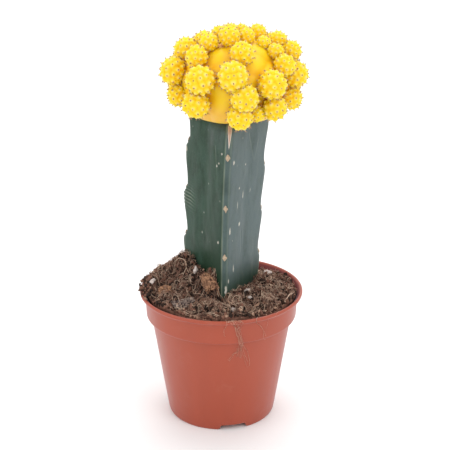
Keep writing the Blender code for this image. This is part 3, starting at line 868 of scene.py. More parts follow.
ROOTLETS = (
    # strands; then bearing in degrees and height in mm of the points each one passes
    (5, (5.0, 68.6), (7.6, 69.9), (9.6, 65.0), (11.8, 60.0), (13.6, 55.0), (15.6, 50.5),
     (15.0, 45.5)),
    (3, (12.5, 69.6), (11.6, 65.5), (12.2, 60.5), (14.6, 54.5), (18.2, 50.0), (20.8, 44.5),
     (23.0, 39.8)),
    (2, (13.4, 50.5), (11.4, 49.0), (8.4, 47.4), (6.2, 44.4)),
    (2, (7.0, 69.8), (10.5, 68.6), (14.5, 69.0), (15.6, 63.5)),
    (2, (24.0, 69.9), (25.5, 66.5), (28.7, 62.5), (32.0, 58.5), (35.5, 56.0)),
    (1, (41.5, 69.9), (40.0, 66.5), (37.6, 63.0), (35.0, 59.5)),
    (1, (3.0, 69.9), (2.4, 66.0), (1.2, 63.0), (2.6, 60.5)),
)
ROOTLETS_HIGHEST = 69.9 * MM


def outside_of_pot(pot, height):
    """The radius just outside the pot: the leaning body, then the collar, then the lip."""
    body = pot.base_radius + (pot.body_radius - pot.base_radius) * height / pot.ledge_height
    past_ledge = smoothstep(pot.ledge_height - 3 * MM, pot.ledge_height + 1 * MM, height)
    past_collar = smoothstep(65.5 * MM, 67.8 * MM, height)
    radius = body + (pot.collar_radius + 0.15 * MM - body) * past_ledge + 0.2 * MM
    return radius + (pot.lip_radius - pot.collar_radius) * past_collar


def rim_rootlets(pot, random):
    """Hair-thin roots over the lip: rounded chains of points, each strand a little shaken."""
    steps = 40
    paths = []
    for strands, *chain in ROOTLETS:
        corners = softened(np.array(chain), 3)
        place = np.linspace(0, len(corners) - 1, steps)
        bearing = np.interp(place, np.arange(len(corners)), corners[:, 0])
        height = np.interp(place, np.arange(len(corners)), corners[:, 1]) * MM
        loose = smoothstep(70 * MM, 62 * MM, height)
        for _ in range(strands):
            drift = np.cumsum(random.normal(0, 1, (2, steps)), axis=1) * 0.19
            waves = random.uniform(4, 13, (2, 1)) * np.linspace(0, 1, steps)
            drift = drift + 0.9 * np.sin(waves + random.uniform(0, 6, (2, 1)))
            turn = np.radians(bearing + drift[0] + random.normal(0, 0.5))
            shaken = np.minimum(height + drift[1] * 0.8 * MM * loose, ROOTLETS_HIGHEST)
            paths.append(on_bearing(turn, outside_of_pot(pot, shaken), shaken))
    paths = np.stack(paths)
    radii = random.uniform(0.06, 0.12, (len(paths), 1)) * np.linspace(1.0, 0.55, steps) * MM
    return tubes(paths, radii, 3)


class CACTUS_OT_potting_mix(bpy.types.Operator):
    """Fill the pot with peat: a lumpy bed, loose crumbs, curly fibres and hanging rootlets"""
    bl_idname = "cactus.potting_mix"
    bl_label = "Potting mix"

    def execute(self, context):
        mix = context.scene.cactus_mix
        random = np.random.default_rng(7)
        crumb_skin = mix_finish(mix, "peat_and_bark")
        points, faces, tone = mix_bed(mix)
        add_piece("mix_bed", points, faces, crumb_skin, "potting_mix", ["potting_mix"], tone=tone)
        points, faces, tone = mix_crumbs(mix, random)
        add_piece("mix_crumbs", points, faces, crumb_skin, "potting_mix", smooth=False, tone=tone)
        fibre_skin = straw_finish(mix)
        points, faces, tone = mix_fibres(mix, random)
        add_piece("mix_fibres", points, faces, fibre_skin, "potting_mix", tone=tone)
        points, faces = rim_rootlets(context.scene.cactus_pot, random)
        root_skin = felt_finish("rootlet", (0.50, 0.245, 0.165), (0.66, 0.43, 0.33))
        add_piece("rim_rootlets", points, faces, root_skin, "potting_mix")
        return {"FINISHED"}


# ---------------------------------------------------------------- debris

def principal_axes(points):
    """Centre, axes from longest to shortest, and half sizes of a cloud of points."""
    low, high = points.min(axis=0), points.max(axis=0)
    centre = (low + high) / 2
    _, _, axes = np.linalg.svd(points - points.mean(axis=0), full_matrices=False)
    if np.linalg.det(axes) < 0:
        axes[2] = -axes[2]
    along = (points - centre) @ axes.T
    return centre, axes, (along.max(axis=0) - along.min(axis=0)) / 2


def flake(node, squareness, shake, grooves, seed, lift=0.0):
    """A rounded box: sines and cosines to a power, then noise and grooves along its length."""
    centre, axes, half = principal_axes(node_points(node))
    centre, half = centre + [0.0, 0.0, lift], half * 1.08
    polar = np.linspace(0.02, math.pi - 0.02, 34)[::-1, None]
    around = round_turn(52)[None]

    def power(value):
        return np.sign(value) * np.abs(value) ** squareness

    local = np.stack([power(np.sin(polar)) * power(np.cos(around)),
                      power(np.sin(polar)) * power(np.sin(around)),
                      np.broadcast_to(power(np.cos(polar)), (34, 52))], axis=-1)
    swell = 1.0 + shake * layered_noise(local, 0.8, 3, seed)
    groove = np.sin(local[..., 1] * 17 + 3 * noise(local, 0.6, seed + 9))
    swell = swell - grooves * (0.5 + 0.5 * groove)
    return closed_surface(centre + (local * swell[..., None] * half) @ axes)


def splinters(random):
    """Pointed strips of bark that fan down the heap's steep side beside the stem, like a claw."""
    number, steps = 8, 12
    part = np.linspace(0, 1, steps)[None]
    fan = np.linspace(-1, 1, number)[:, None]
    reach = np.array([0.35, 0.5, 0.45, 0.6, 0.5, 0.75, 0.6, 1.0])[:, None]
    x = (-7.6 + 2.0 * fan + (2.0 + 3.2 * fan) * reach * part) * MM
    y = (-17.0 - 0.8 * np.abs(fan) - 4.2 * reach * part) * MM
    z = (83.2 - 0.6 * fan**2 + 1.2 * np.sin(math.pi * part) - 10.5 * reach * part**1.4) * MM
    paths = np.stack(np.broadcast_arrays(x, y, z), axis=-1)
    radii = random.uniform(0.55, 0.85, (number, 1)) * MM * (1.08 - part**2.0)
    points, faces = tubes(paths, radii, 6)
    return points + 0.3 * MM * noise(points, 0.9 * MM, 8)[:, None], faces


CHIPS = {
    # node: squareness, shake, grooves, lift in mm, finish
    "bark_chip_stem": (0.42, 0.52, 0.30, 4.4, "rust_bark"),
    "bark_chip_left": (0.42, 0.50, 0.28, 0.4, "rust_bark"),
    "wood_chip_front": (0.42, 0.42, 0.25, 1.4, "grey_wood"),
    "bark_nugget_front": (0.70, 0.30, 0.18, 1.4, "tan_bark"),
    "bark_nugget_right": (0.65, 0.30, 0.20, 1.8, "tan_bark"),
}
CHIP_SKINS = {
    # finish: dark layers, light layers, scale of the layers
    "rust_bark": ((0.085, 0.034, 0.021), (0.45, 0.24, 0.135), 520.0),
    "tan_bark": ((0.11, 0.052, 0.034), (0.33, 0.19, 0.12), 420.0),
    "grey_wood": ((0.030, 0.014, 0.016), (0.38, 0.285, 0.235), 480.0),
}
PERLITE_LIFT = 2.2 * MM


class CACTUS_OT_debris(bpy.types.Operator):
    """Lay the larger bark pieces and the perlite grains in the mix"""
    bl_idname = "cactus.debris"
    bl_label = "Bark and perlite"

    def execute(self, context):
        skins = {name: chip_finish(name, *look) for name, look in CHIP_SKINS.items()}
        for seed, (node, (squareness, shake, grooves, lift, skin)) in enumerate(CHIPS.items()):
            points, faces = flake(node, squareness, shake, grooves, seed, lift * MM)
            add_piece(node + "_flake", points, faces, skins[skin], "bark", [node])
        points, faces = splinters(np.random.default_rng(3))
        add_piece("bark_chip_splinters", points, faces, skins["rust_bark"], "bark")
        stone = perlite_finish()
        for seed in range(1, 7):
            node = f"perlite_grain_{seed}"
            points, faces = flake(node, 0.9, 0.34, 0.0, 40 + seed, PERLITE_LIFT)
            add_piece(node + "_pebble", points, faces, stone, "perlite", [node])
        return {"FINISHED"}


# ---------------------------------------------------------------- rootstock

def stock_axis(stock, height):
    """The stem's middle leans to the right as it climbs."""
    x = 0.6 * MM + stock.lean * np.maximum(0.0, (height - 60 * MM) / 0.1) ** 2
    return x, 0.0 * x


def stock_turn(stock, height):
    """How far the stem is twisted: all of it at the foot, none at the top."""
    rise = (height - STOCK_LOW.z) / (STOCK_HIGH.z - STOCK_LOW.z)
    return stock.twist * (1.0 - rise)


RIBS = np.array([
    # height of an areole, distance to the next, reach of the swelling, in mm
    (146.4, 26.0, 0.4), (133.5, 24.4, 1.9), (145.6, 24.9, 3.0),
]) * MM


def rib_swell(bearing, height):
    """A rib stands out just under each areole and draws in again towards the next one."""
    which = np.round(bearing / THIRD).astype(int) % 3
    first, pitch, reach = np.moveaxis(RIBS[which], -1, 0)
    below = ((first - height) / pitch) % 1.0
    swell = smoothstep(-0.06, 0.12, below) * (1.0 - smoothstep(0.16, 0.86, below))
    swell = swell + smoothstep(0.92, 1.06, below)
    return reach * (swell - 0.5)


def stock_radius(stock, bearing, height):
    """Smooth minimum of the flat face's and the blunt rib's distance from the stem's middle."""
    from_rib = from_nearest(bearing, THIRD)
    from_face = THIRD / 2 - from_rib
    hollow = 1.0 - stock.hollow * np.cos(np.minimum(from_face * 2.4, math.pi / 2)) ** 2
    face = stock.face_radius * hollow / np.cos(from_face)
    rib = (stock.rib_radius + rib_swell(bearing, height)) / np.cos(from_rib)
    sharp = stock.crispness
    radius = (face**-sharp + rib**-sharp) ** (-1.0 / sharp)
    past_shoulder = np.maximum(0.0, (height - STOCK_HIGH.z + stock.shoulder) / stock.shoulder)
    shoulder = 1.0 - 0.20 * past_shoulder**2.2
    narrowing = 1.0 - 0.025 * smoothstep(130 * MM, 80 * MM, height)
    root = 1.0 - 0.35 * smoothstep(62 * MM, 48 * MM, height)
    return radius * shoulder * narrowing * root


def stock_points(stock, bearing, height, out=0.0):
    """Points on the stem, or a little outside it, at a bearing from its own front rib."""
    x, y = stock_axis(stock, height)
    radius = stock_radius(stock, bearing, height) + out
    points = on_bearing(bearing + stock_turn(stock, height), radius, height)
    return points + np.stack(np.broadcast_arrays(x, y, 0.0 * x), axis=-1)


def stem_spot(stock, degrees, height):
    """One point on the stem at a bearing in degrees and a height in millimetres."""
    return stock_points(stock, np.array(math.radians(degrees)), np.array(height * MM))


SCARS = (
    # bearing in degrees; then height, half width and half length in mm
    (9.0, 143.2, 0.8, 1.1), (-13.0, 142.2, 0.9, 0.7), (-17.0, 140.6, 0.6, 0.6),
    (-8.5, 147.6, 0.6, 0.6), (42.0, 123.5, 0.55, 2.1), (7.0, 107.5, 0.6, 2.2),
    (30.0, 109.0, 0.9, 1.3), (-9.5, 101.5, 0.8, 0.9), (16.0, 86.0, 0.5, 2.4),
    (2.0, 76.5, 0.7, 3.0), (6.0, 81.0, 0.4, 1.4), (47.0, 139.0, 0.5, 0.6),
    (26.0, 128.0, 0.5, 0.6), (22.0, 119.0, 0.3, 3.4), (-118.0, 141.0, 1.6, 1.5),
)
CREASES = (
    # bearing in degrees and height in mm of both ends of a fold in the skin
    (60.0, 153.8, 84.0, 138.8), (94.6, 148.4, 86.0, 138.8),
    (-24.0, 150.0, -15.0, 133.0), (40.0, 104.0, 47.0, 92.0),
)
STRIP_FOOT = 150 * MM
CAP_RINGS = 14


def crease_mask(points, stock):
    """1 along each fold: the distance to the line between its two ends."""
    total = np.zeros(points.shape[:-1])
    for fold in CREASES:
        start = stem_spot(stock, *fold[:2])
        along = stem_spot(stock, *fold[2:]) - start
        part = np.clip((points - start) @ along / (along @ along), 0.0, 1.0)
        apart = np.linalg.norm(points - start - part[..., None] * along, axis=-1)
        total = np.maximum(total, np.exp(-((apart / (0.35 * MM)) ** 2)) * (1.0 - 0.6 * part))
    return total


def scar_mask(points, stock):
    """1 in the middle of each healed scar, fading over its rough edge."""
    edge = 0.35 * layered_noise(points, 1.1 * MM, 3, 23)
    total = np.zeros(points.shape[:-1])
    for degrees, height, half_width, half_length in SCARS:
        apart = points - stem_spot(stock, degrees, height)
        level = np.hypot(apart[..., 0], apart[..., 1]) / (half_width * MM)
        upright = apart[..., 2] / (half_length * MM)
        total = np.maximum(total, 1.0 - smoothstep(0.55, 1.05, np.hypot(level, upright) + edge))
    return total


def front_angle(bearing):
    """A bearing as an angle from -pi to pi, 0 at the front rib."""
    return (bearing + math.pi) % math.tau - math.pi


def stem_wrinkles(bearing, height, surface):
    """Waves down the stem, bent by noise, on a patch of the left face by its back rib."""
    on_left = 1.0 - smoothstep(math.radians(252), math.radians(272), bearing)
    on_left = (bearing > math.radians(236)) * on_left
    patch = np.exp(-(((height - 117 * MM) / (5 * MM)) ** 2)) * on_left
    return patch * np.sin(height / (0.27 * MM) + 9 * bearing + 2.0 * noise(surface, 5 * MM, 14))


def stem_strip(stock, bearing, height):
    """1 on the shaved strip of the front rib, a wedge that widens upwards to its full width."""
    width = np.clip((height - STRIP_FOOT) / 9, 0.0, 1.05 * MM)
    aside = front_angle(bearing) * stock.rib_radius
    strip = 1.0 - smoothstep(-0.45 * MM, 0.15 * MM, np.abs(aside - 0.3 * MM) - width)
    return strip * (height > STRIP_FOOT)


def stem_worn_and_highlight(bearing, surface, fold, wrinkle):
    """Paler lines beside every rib, strongest left of the front one, and on folds; the wrinkles'
    crests are paler as a painted highlight.
    """
    left = np.exp(-(((front_angle(bearing) + 0.062) / 0.014) ** 2))
    both = np.exp(-(((from_nearest(bearing, THIRD) - 0.062) / 0.018) ** 2))
    uneven = 0.65 + 0.5 * noise(surface, 6 * MM, 4)
    # The last term paints a highlight on the wrinkles' outward crests.
    worn_and_highlight = (0.22 * both + 0.34 * left) * uneven + 0.22 * fold + 0.5 * np.maximum(wrinkle, 0.0)
    return np.clip(worn_and_highlight, 0, 1)


def stem_bloom_and_sheen(turned, bearing, height, surface):
    """Waxy bloom: much on the right face, where it is also a painted reflection, some at the back,
    and a patch at the left's top.
    """
    # Painted reflection: the right face gets most of the pale bloom colour.
    bloom = 0.04 + 0.62 * smoothstep(-0.075, -0.045, turned)
    bloom = bloom + 0.24 * smoothstep(0.04, 0.12, turned)
    past_right = smoothstep(2.0, 2.3, bearing)
    bloom = bloom * (1.0 - past_right * (bearing < 6.0))
    bloom = bloom + 0.25 * past_right * (1.0 - smoothstep(4.0, 4.3, bearing))
    waxy = smoothstep(146 * MM, 156 * MM, height) * (0.6 + 0.4 * noise(surface, 5 * MM, 33))
    return bloom + 0.45 * waxy * (turned < -0.08)


def stem_foot_shade(turned, height):
    """Painted shade: deeper green towards the foot, from higher up on the left face than on the
    right.
    """
    left, right = smoothstep(132 * MM, 84 * MM, height), smoothstep(90 * MM, 72 * MM, height)
    return 0.85 * np.where(turned < -0.06, left, right)


class CACTUS_OT_rootstock(bpy.types.Operator):
    """Grow the three-ribbed stem from a bearing and a height, with its scars and shaved strip"""
    bl_idname = "cactus.rootstock"
    bl_label = "Rootstock"

    def execute(self, context):
        stock = context.scene.cactus_stock
        even = round_turn(288)
        bearing = (even - 0.2 * np.sin(3 * even))[None]
        rise = np.linspace(0.0, 1.0, 300)[:, None]
        height = STOCK_LOW.z + (STOCK_HIGH.z - STOCK_LOW.z) * rise
        plain = stock_points(stock, bearing, height)
        lumps = layered_noise(plain * [1, 1, 0.5], 9.0 * MM, 3, 2)
        wrinkle = stem_wrinkles(bearing, height, plain)
        scar, fold = scar_mask(plain, stock), crease_mask(plain, stock)
        strip = stem_strip(stock, bearing, height)
        out = 0.30 * MM * lumps + 0.22 * MM * wrinkle + 0.18 * MM * scar
        out = out - 0.35 * MM * strip - 0.25 * MM * fold
        surface = stock_points(stock, bearing, height, out)
        inward = np.linspace(0.93, 0.06, CAP_RINGS)[:, None, None]
        cap = surface[-1:] * inward + surface[-1].mean(axis=0) * (1 - inward)
        points, faces = closed_surface(np.concatenate([surface, cap]))
        turned = (bearing + 1.0) % math.tau - 1.0
        marks = {
            "strip": strip, "scar": scar, "edge": stem_worn_and_highlight(bearing, surface, fold, wrinkle),
            "foot": stem_foot_shade(turned, height),
            "bloom": stem_bloom_and_sheen(turned, bearing, height, surface),
        }
        for label, values in marks.items():
            values = np.broadcast_to(values, surface.shape[:2])
            on_cap = np.zeros((CAP_RINGS, values.shape[1]))
            marks[label] = with_ends(np.concatenate([values, on_cap]))
        add_piece("stem_skin", points, faces, stock_finish(stock), "stock_skin", ["rootstock"],
                  **marks)
        self.add_areoles(stock)
        return {"FINISHED"}

    def add_areoles(self, stock):
        """Corky pads down each rib: noisy lens shapes set in the skin."""
        shapes = []
        for rib, (first, pitch, _) in enumerate(RIBS):
            for step in range(-2, 2):
                height = np.array(first + step * pitch)
                if height > STOCK_HIGH.z - 3 * MM:
                    continue
                bearing = np.array(rib * THIRD)
                middle = stock_points(stock, bearing, height, 0.15 * MM)
                outward = on_bearing(bearing + stock_turn(stock, height), 1.0, 0.0)
                shapes.append(self.pad(middle, outward, 10 * rib + step))
        add_piece("stem_areoles", *merged(shapes), cork_finish(stock), "stock_skin")

    def pad(self, middle, outward, seed):
        """A diamond-like lens: narrow across the rib, taller along it, with a rough face."""
        polar = np.linspace(0.05, math.pi - 0.05, 18)[::-1, None]
        around = round_turn(24)[None]
        local = globe(polar, around)
        local[..., :2] *= (1.0 - 0.22 * np.sin(2 * around) ** 2)[..., None]
        local = local * (1 + 0.25 * layered_noise(local, 0.5, 3, seed + 60))[..., None]
        side = np.cross([0.0, 0.0, 1.0], outward)
        axes = np.stack([side * 1.05 * MM, np.array([0.0, 0.0, 1.75 * MM]), outward * -0.55 * MM])
        return closed_surface(middle + local @ axes)


# ---------------------------------------------------------------- scion and offsets

def scion_shape(scion):
    """Centre and half axes of the scion's ellipsoid, above and below its girdle."""
    centre = np.array([(SCION_LOW.x + SCION_HIGH.x) / 2, 0.0, SCION_HIGH.z - scion.crown_height])
    radius = (SCION_HIGH.x - SCION_LOW.x) / 2
    above = np.array([radius, radius, scion.crown_height])
    return centre, above, np.array([radius, radius, scion.lower_depth])


def angles_between(first, second):
    """The angle from each of the first directions to each of the second."""
    return np.arccos(np.clip(first @ second.T, -1, 1))


class CACTUS_OT_scion(bpy.types.Operator):
    """Swell the scion's body, ribbed below and softly domed above, cut flat on the stem"""
    bl_idname = "cactus.scion"
    bl_label = "Scion"

    def execute(self, context):
        scion = context.scene.cactus_scion
        centre, above, below = scion_shape(scion)
        foot = math.acos((SCION_LOW.z - centre[2]) / scion.lower_depth)
        polar = np.linspace(0.012, foot, 120)[::-1, None]
        bearing = round_turn(176)[None]
        direction = on_bearing(bearing, np.sin(polar), np.cos(polar))
        half = np.where(direction[..., 2:] > 0, above, below)
        wave = np.abs(np.sin(scion.ribs * bearing / 2 + 0.5 * np.sin(3 * polar)))
        swell = wave**0.7 * np.sin(polar) * scion.rib_height
        chin = 0.35 * MM * np.clip(noise(direction * [9, 9, 14], 1.6, 8), 0, 1) * np.sin(polar)
        lump = 0.25 * MM * layered_noise(direction * 20 * MM, 7 * MM, 3, 3)
        domes = tubercle_centres(64, np.random.default_rng(5))
        apart = angles_between(direction.reshape(-1, 3), domes) / (1.15 * tubercle_widths(domes))
        dome = np.clip(1.0 - apart.min(axis=-1) ** 2, 0, 1).reshape(direction.shape[:2])
        crown = smoothstep(1.75, 1.25, polar)
        swell = swell * (1.0 - crown) + scion.swelling * dome * crown
        wave = wave * (1.0 - crown) + dome**1.8 * crown
        rings = centre + direction * half + direction * (swell + chin + lump)[..., None]
        rings[:2, :, 2] = SCION_LOW.z
        points, faces = closed_surface(rings)
        # rise is low in the creases, where the painted shade goes.
        rise = np.clip(0.25 + 0.75 * wave, 0, 1) * np.ones_like(polar)
        low = smoothstep(SCION_LOW.z + 13 * MM, SCION_LOW.z + 3 * MM, rings[..., 2])
        add_piece("scion_skin", points, faces, scion_finish(scion), "scion_skin", ["scion"],
                  rise=with_ends(rise), low=with_ends(low))
        return {"FINISHED"}


NUDGES = {
    # offset: how far its skin sits from the plain globe in x, y and z, and its extra girth, in mm
    "offset_01": (0.0, 0.0, -1.4, 1.0), "offset_06": (0.0, 0.0, -1.4, 0.4),
    "offset_07": (0.9, 0.0, -1.6, 0.6), "offset_10": (0.0, 0.0, -1.6, 0.2),
    "offset_14": (0.2, -1.0, 0.2, 0.6), "offset_18": (-0.4, -1.0, 0.3, 0.6),
    "offset_19": (1.2, 0.0, -0.9, 0.0), "offset_20": (0.4, 0.0, 0.8, 0.8),
    "offset_21": (-0.4, 0.0, -0.7, 0.2), "offset_22": (0.0, 0.0, -0.6, 0.2),
    "offset_23": (0.2, -4.5, 1.8, 2.6), "offset_24": (-1.4, -4.0, 1.0, 2.4),
    "offset_30": (-1.7, 0.0, -0.2, 0.4), "offset_31": (0.2, 0.0, 0.9, 0.4),
    "offset_32": (1.2, -3.0, 0.4, 1.4), "offset_33": (-1.8, -3.0, 0.2, 1.2),
    "offset_35": (0.6, 0.0, 1.2, 0.6), "offset_36": (0.4, -0.6, 0.3, 1.6),
}


def sphere_through(points):
    """Centre and diameter of the sphere that fits points best: a least-squares plane in 4-D."""
    table = np.concatenate([2 * points, np.ones((len(points), 1))], axis=1)
    answer = np.linalg.lstsq(table, (points**2).sum(axis=1), rcond=None)[0]
    return answer[:3], 2 * math.sqrt(answer[3] + answer[:3] @ answer[:3])


def offset_seat(node, scion):
    """Centre, diameter, outward axis and the point of the scion's surface under an offset."""
    centre, above, below = scion_shape(scion)
    points = node_points(node)
    outward = (points - points.mean(axis=0)) @ unit(points.mean(axis=0) - centre)
    middle, diameter = sphere_through(points[outward > np.quantile(outward, 0.35)])
    *nudge, girth = np.array(NUDGES.get(node, (0.0, 0.0, 0.0, 0.0))) * MM
    middle, diameter = middle + nudge, diameter + girth
    half = above if middle[2] > centre[2] else below
    axis = unit((middle - centre) / half**2)
    start, ahead = (middle - centre) / half, axis / half
    bend = start @ ahead
    reach = (bend - math.sqrt(bend**2 - (ahead @ ahead) * (start @ start - 1.0))) / (ahead @ ahead)
    return middle, diameter, axis, middle - axis * reach


def tubercle_centres(number, random):
    """Directions in a golden-angle spiral, closer near the crown, each a little shaken."""
    step = (np.arange(number) + 0.5) / number
    polar = math.radians(146) * step**0.58 + random.normal(0, 0.028, number)
    turn = np.arange(number) * GOLDEN_ANGLE + random.normal(0, 0.035, number) / np.sin(polar)
    return globe(polar, turn)


def tubercle_widths(centres):
    """Each tubercle is as wide as the gap to its nearest neighbour."""
    apart = angles_between(centres, centres) + 9.0 * np.eye(len(centres))
    return apart.min(axis=1) * 0.72


def tubercle_rise(directions, centres, widths):
    """The highest tubercle over each direction: a dome with a pointed top, 0 in the valleys."""
    apart = angles_between(directions, centres) / widths
    inside = np.clip(1.0 - apart, 0.0, 1.0)
    dome = np.clip(1.0 - apart**2, 0.0, 1.0)
    return (0.30 * dome + 0.70 * inside).max(axis=-1)


def offset_form(directions, polar, middle):
    """The globe's flattening and swelling, and the tubercles' taper at its foot and its crown."""
    flat = 1.0 - 0.02 * directions[..., 2] ** 2 - 0.04 * np.exp(-((polar / 0.3) ** 2))
    swell = 1.0 + 0.03 * layered_noise(directions + middle * 900, 0.9, 2, 6)
    at_foot = smoothstep(math.radians(156), math.radians(118), polar)
    at_crown = 0.72 + 0.28 * smoothstep(0.05, 0.6, polar)
    return flat, swell, at_foot, at_crown


class CACTUS_OT_offsets(bpy.types.Operator):
    """Grow every offset: a globe of spiralling tubercles, each with its felt pad and spines"""
    bl_idname = "cactus.offsets"
    bl_label = "Offsets"

    def execute(self, context):
        scion, offsets = context.scene.cactus_scion, context.scene.cactus_offsets
        skin = offset_finish(offsets)
        random = np.random.default_rng(19)
        pads, needles = [], []
        for node in sorted(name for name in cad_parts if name.startswith("offset_")):
            tips, normals, size = self.grow(node, scion, offsets, skin, random)
            pads.append(self.felt(tips, normals, size, random))
            needles.append(self.spines(tips, normals, size, random))
        felt = felt_finish("areole_felt", offsets.areole, (0.62, 0.40, 0.26))
        add_piece("offset_areoles", *merged(pads), felt, "offset_skin")
        spine = felt_finish("spine", offsets.spine, (0.70, 0.48, 0.28))
        add_piece("offset_spines", *merged(needles), spine, "offset_skin", smooth=False)
        return {"FINISHED"}

    def grow(self, node, scion, offsets, skin, random):
        """Rings round the offset's axis: globe, tubercles, then a neck that enters the scion."""
        middle, diameter, axis, root = offset_seat(node, scion)
        number = int(offsets.tubercles + 2.2 * (diameter / MM - 10))
        centres = tubercle_centres(number, random)
        widths = tubercle_widths(centres)
        height = offsets.tubercle_height * diameter
        globe_radius = (diameter + offsets.growth) / 2 - height
        rows, columns, neck_rows = 58, 84, 7
        polar = np.linspace(0.02, math.radians(158), rows)[::-1, None]
        local = globe(polar, round_turn(columns)[None])
        rise = tubercle_rise(local.reshape(-1, 3), centres, widths).reshape(rows, columns)
        flat, swell, at_foot, at_crown = offset_form(local, polar, middle)
        radius = globe_radius * flat * swell + height * rise * at_foot * at_crown
        turn = turns_facing(axis[None])[0]
        spin = random.uniform(0, math.tau)
        cosine, sine = math.cos(spin), math.sin(spin)
        turn = turn @ np.array([[cosine, -sine, 0], [sine, cosine, 0], [0, 0, 1]])
        body = middle + (local * radius[..., None]) @ turn.T
        inner = root - axis * 1.2 * MM
        drop = np.linspace(1.0, 0.12, neck_rows)[:, None, None]
        neck = inner + (body[0] - inner) * (1 - drop)
        neck = neck + 0.35 * (body[0] - body[0].mean(axis=0)) * drop
        points, faces = closed_surface(np.concatenate([neck, body]))
        low = np.broadcast_to(smoothstep(1.5, 2.5, polar), (rows, columns))
        # rise is 0 in the valleys and base is 1 at the foot: both lay the painted shade.
        rise = np.concatenate([np.zeros((neck_rows, columns)), rise * at_foot * at_crown])
        base = np.concatenate([np.ones((neck_rows, columns)), low])
        add_piece(node + "_skin", points, faces, skin, "offset_skin", [node],
                  rise=with_ends(rise), base=with_ends(base))
        flat, swell, at_foot, at_crown = offset_form(centres, np.arccos(centres[:, 2]), middle)
        tip_radius = globe_radius * flat * swell + height * (at_foot * at_crown)
        tips = middle + (centres * tip_radius[:, None]) @ turn.T
        scale = np.clip(widths / np.median(widths), 0.45, 1.15)
        return tips, centres @ turn.T, scale * diameter

    def felt(self, tips, normals, size, random):
        """A flattened grain of felt on each tubercle's tip."""
        radius = np.clip(size * 0.034, 0.15 * MM, 0.42 * MM) * random.uniform(0.6, 1.15, len(tips))
        radius = radius[:, None]
        sizes = radius * random.uniform([0.8, 0.8, 0.4], [1.15, 1.15, 0.6], (len(tips), 3))
        return grains(tips - normals * 0.03 * MM, sizes, turns_facing(normals), 0.15, random)

    def spines(self, tips, normals, size, random):
        """Weak needles that splay from each pad."""
        each = 6
        number = len(tips) * each
        outward = np.repeat(normals, each, axis=0)
        turns = turns_facing(outward)
        spread = np.tile(round_turn(each), len(tips)) + random.uniform(0, 0.8, number)
        lean = random.uniform(0.5, 1.3, number)
        local = np.stack([np.cos(spread) * lean, np.sin(spread) * lean, np.ones(number)], axis=-1)
        directions = unit(np.einsum("sij,sj->si", turns, local))
        lengths = np.repeat(np.clip(size * 0.08, 0.4 * MM, 1.1 * MM), each)
        lengths = lengths * random.uniform(0.7, 1.5, number)
        return spikes(np.repeat(tips, each, axis=0), directions, lengths, 0.08 * MM)


# ---------------------------------------------------------------- stage

FLOOR_HALF_WIDTH = 4.0
PLANT_MIDDLE = (0.0, 0.0, 0.11)
SOFTBOXES = {
    # place and the point it looks at, width in metres, power in watts
    "key_softbox": ((0.75, -0.75, 0.85), PLANT_MIDDLE, 0.7, 3.8),
    "fill_softbox": ((-0.95, -0.55, 0.55), PLANT_MIDDLE, 0.8, 2.9),
    "top_softbox": ((0.1, 0.35, 1.1), PLANT_MIDDLE, 0.9, 3.4),
    "back_softbox": ((0.0, 1.5, 1.5), (0.0, 1.2, 0.0), 2.0, 14.0),
}


def add_softbox(name, place, aim, size, power):
    """A square soft light that looks at a point."""
    light = bpy.data.lights.new(name, "AREA")
    light.shape = "SQUARE"
    light.size = size
    light.energy = power
    lamp = add_object(name, light)
    lamp.location = place
    toward = [end - start for start, end in zip(place, aim)]
    flat = math.hypot(toward[0], toward[1])
    turn = math.atan2(-toward[0], toward[1])
    lamp.rotation_euler = Euler((math.atan2(flat, -toward[2]), 0.0, turn))


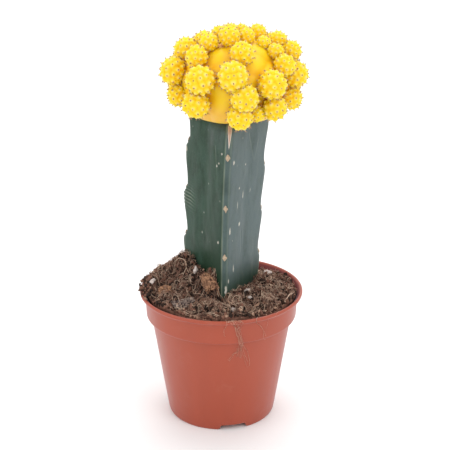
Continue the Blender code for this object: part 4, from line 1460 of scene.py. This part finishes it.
class CACTUS_OT_stage(bpy.types.Operator):
    """Set the pale floor, the soft studio light and the camera"""
    bl_idname = "cactus.stage"
    bl_label = "Stage"

    def execute(self, context):
        stage = context.scene.cactus_stage
        finish = Finish("pale_floor", 0.95, 0.0)
        finish.shader.inputs["Base Color"].default_value = (*stage.floor, 1.0)
        mesh = bpy.data.meshes.new("floor")
        half = FLOOR_HALF_WIDTH
        corners = [(-half, -half, 0.0), (half, -half, 0.0), (half, half, 0.0), (-half, half, 0.0)]
        mesh.from_pydata(corners, [], [(0, 1, 2, 3)])
        mesh.materials.append(finish.material)
        add_object("floor", mesh)
        world = bpy.data.worlds.new("white_surroundings")
        world.use_nodes = True
        background = world.node_tree.nodes["Background"]
        background.inputs["Color"].default_value = (1.0, 1.0, 1.0, 1.0)
        background.inputs["Strength"].default_value = stage.surroundings
        context.scene.world = world
        for name, light in SOFTBOXES.items():
            add_softbox(name, *light)
        context.scene.view_settings.view_transform = "Standard"
        camera_data = bpy.data.cameras.new("camera")
        camera_data.lens = stage.lens
        camera_data.sensor_width = 36.0
        camera = add_object("camera", camera_data)
        camera.location = (stage.side, -stage.distance, stage.height)
        camera.rotation_euler = Euler((math.pi / 2 - stage.pitch, 0.0, 0.0))
        context.scene.camera = camera
        return {"FINISHED"}


class CACTUS_PT_panel(bpy.types.Panel):
    """Every step of the plant, in the order it is built"""
    bl_idname = "CACTUS_PT_panel"
    bl_label = "Potted Moon Cactus"
    bl_space_type = "VIEW_3D"
    bl_region_type = "UI"
    bl_category = "Moon Cactus"

    def draw(self, context):
        column = self.layout.column(align=True)
        for operator in OPERATORS:
            column.operator(operator.bl_idname)


SETTINGS = {
    "cactus_pot": CactusPotSettings,
    "cactus_mix": CactusMixSettings,
    "cactus_stock": CactusStockSettings,
    "cactus_scion": CactusScionSettings,
    "cactus_offsets": CactusOffsetSettings,
    "cactus_stage": CactusStageSettings,
}
OPERATORS = (
    CACTUS_OT_stage, CACTUS_OT_pot, CACTUS_OT_potting_mix, CACTUS_OT_debris,
    CACTUS_OT_rootstock, CACTUS_OT_scion, CACTUS_OT_offsets,
)


def register():
    """Add the settings, the steps and the panel to Blender."""
    for group in (*SETTINGS.values(), *OPERATORS, CACTUS_PT_panel):
        bpy.utils.register_class(group)
    for label, group in SETTINGS.items():
        setattr(bpy.types.Scene, label, bpy.props.PointerProperty(type=group))


def unregister():
    """Take them out again."""
    for label in SETTINGS:
        delattr(bpy.types.Scene, label)
    for group in reversed((*SETTINGS.values(), *OPERATORS, CACTUS_PT_panel)):
        bpy.utils.unregister_class(group)


def main():
    """Build the plant step by step."""
    register()
    for operator in OPERATORS:
        family, name = operator.bl_idname.split(".")
        if getattr(getattr(bpy.ops, family), name)() != {"FINISHED"}:
            raise RuntimeError(f"{operator.bl_label} did not finish")


if __name__ == "__main__":
    main()
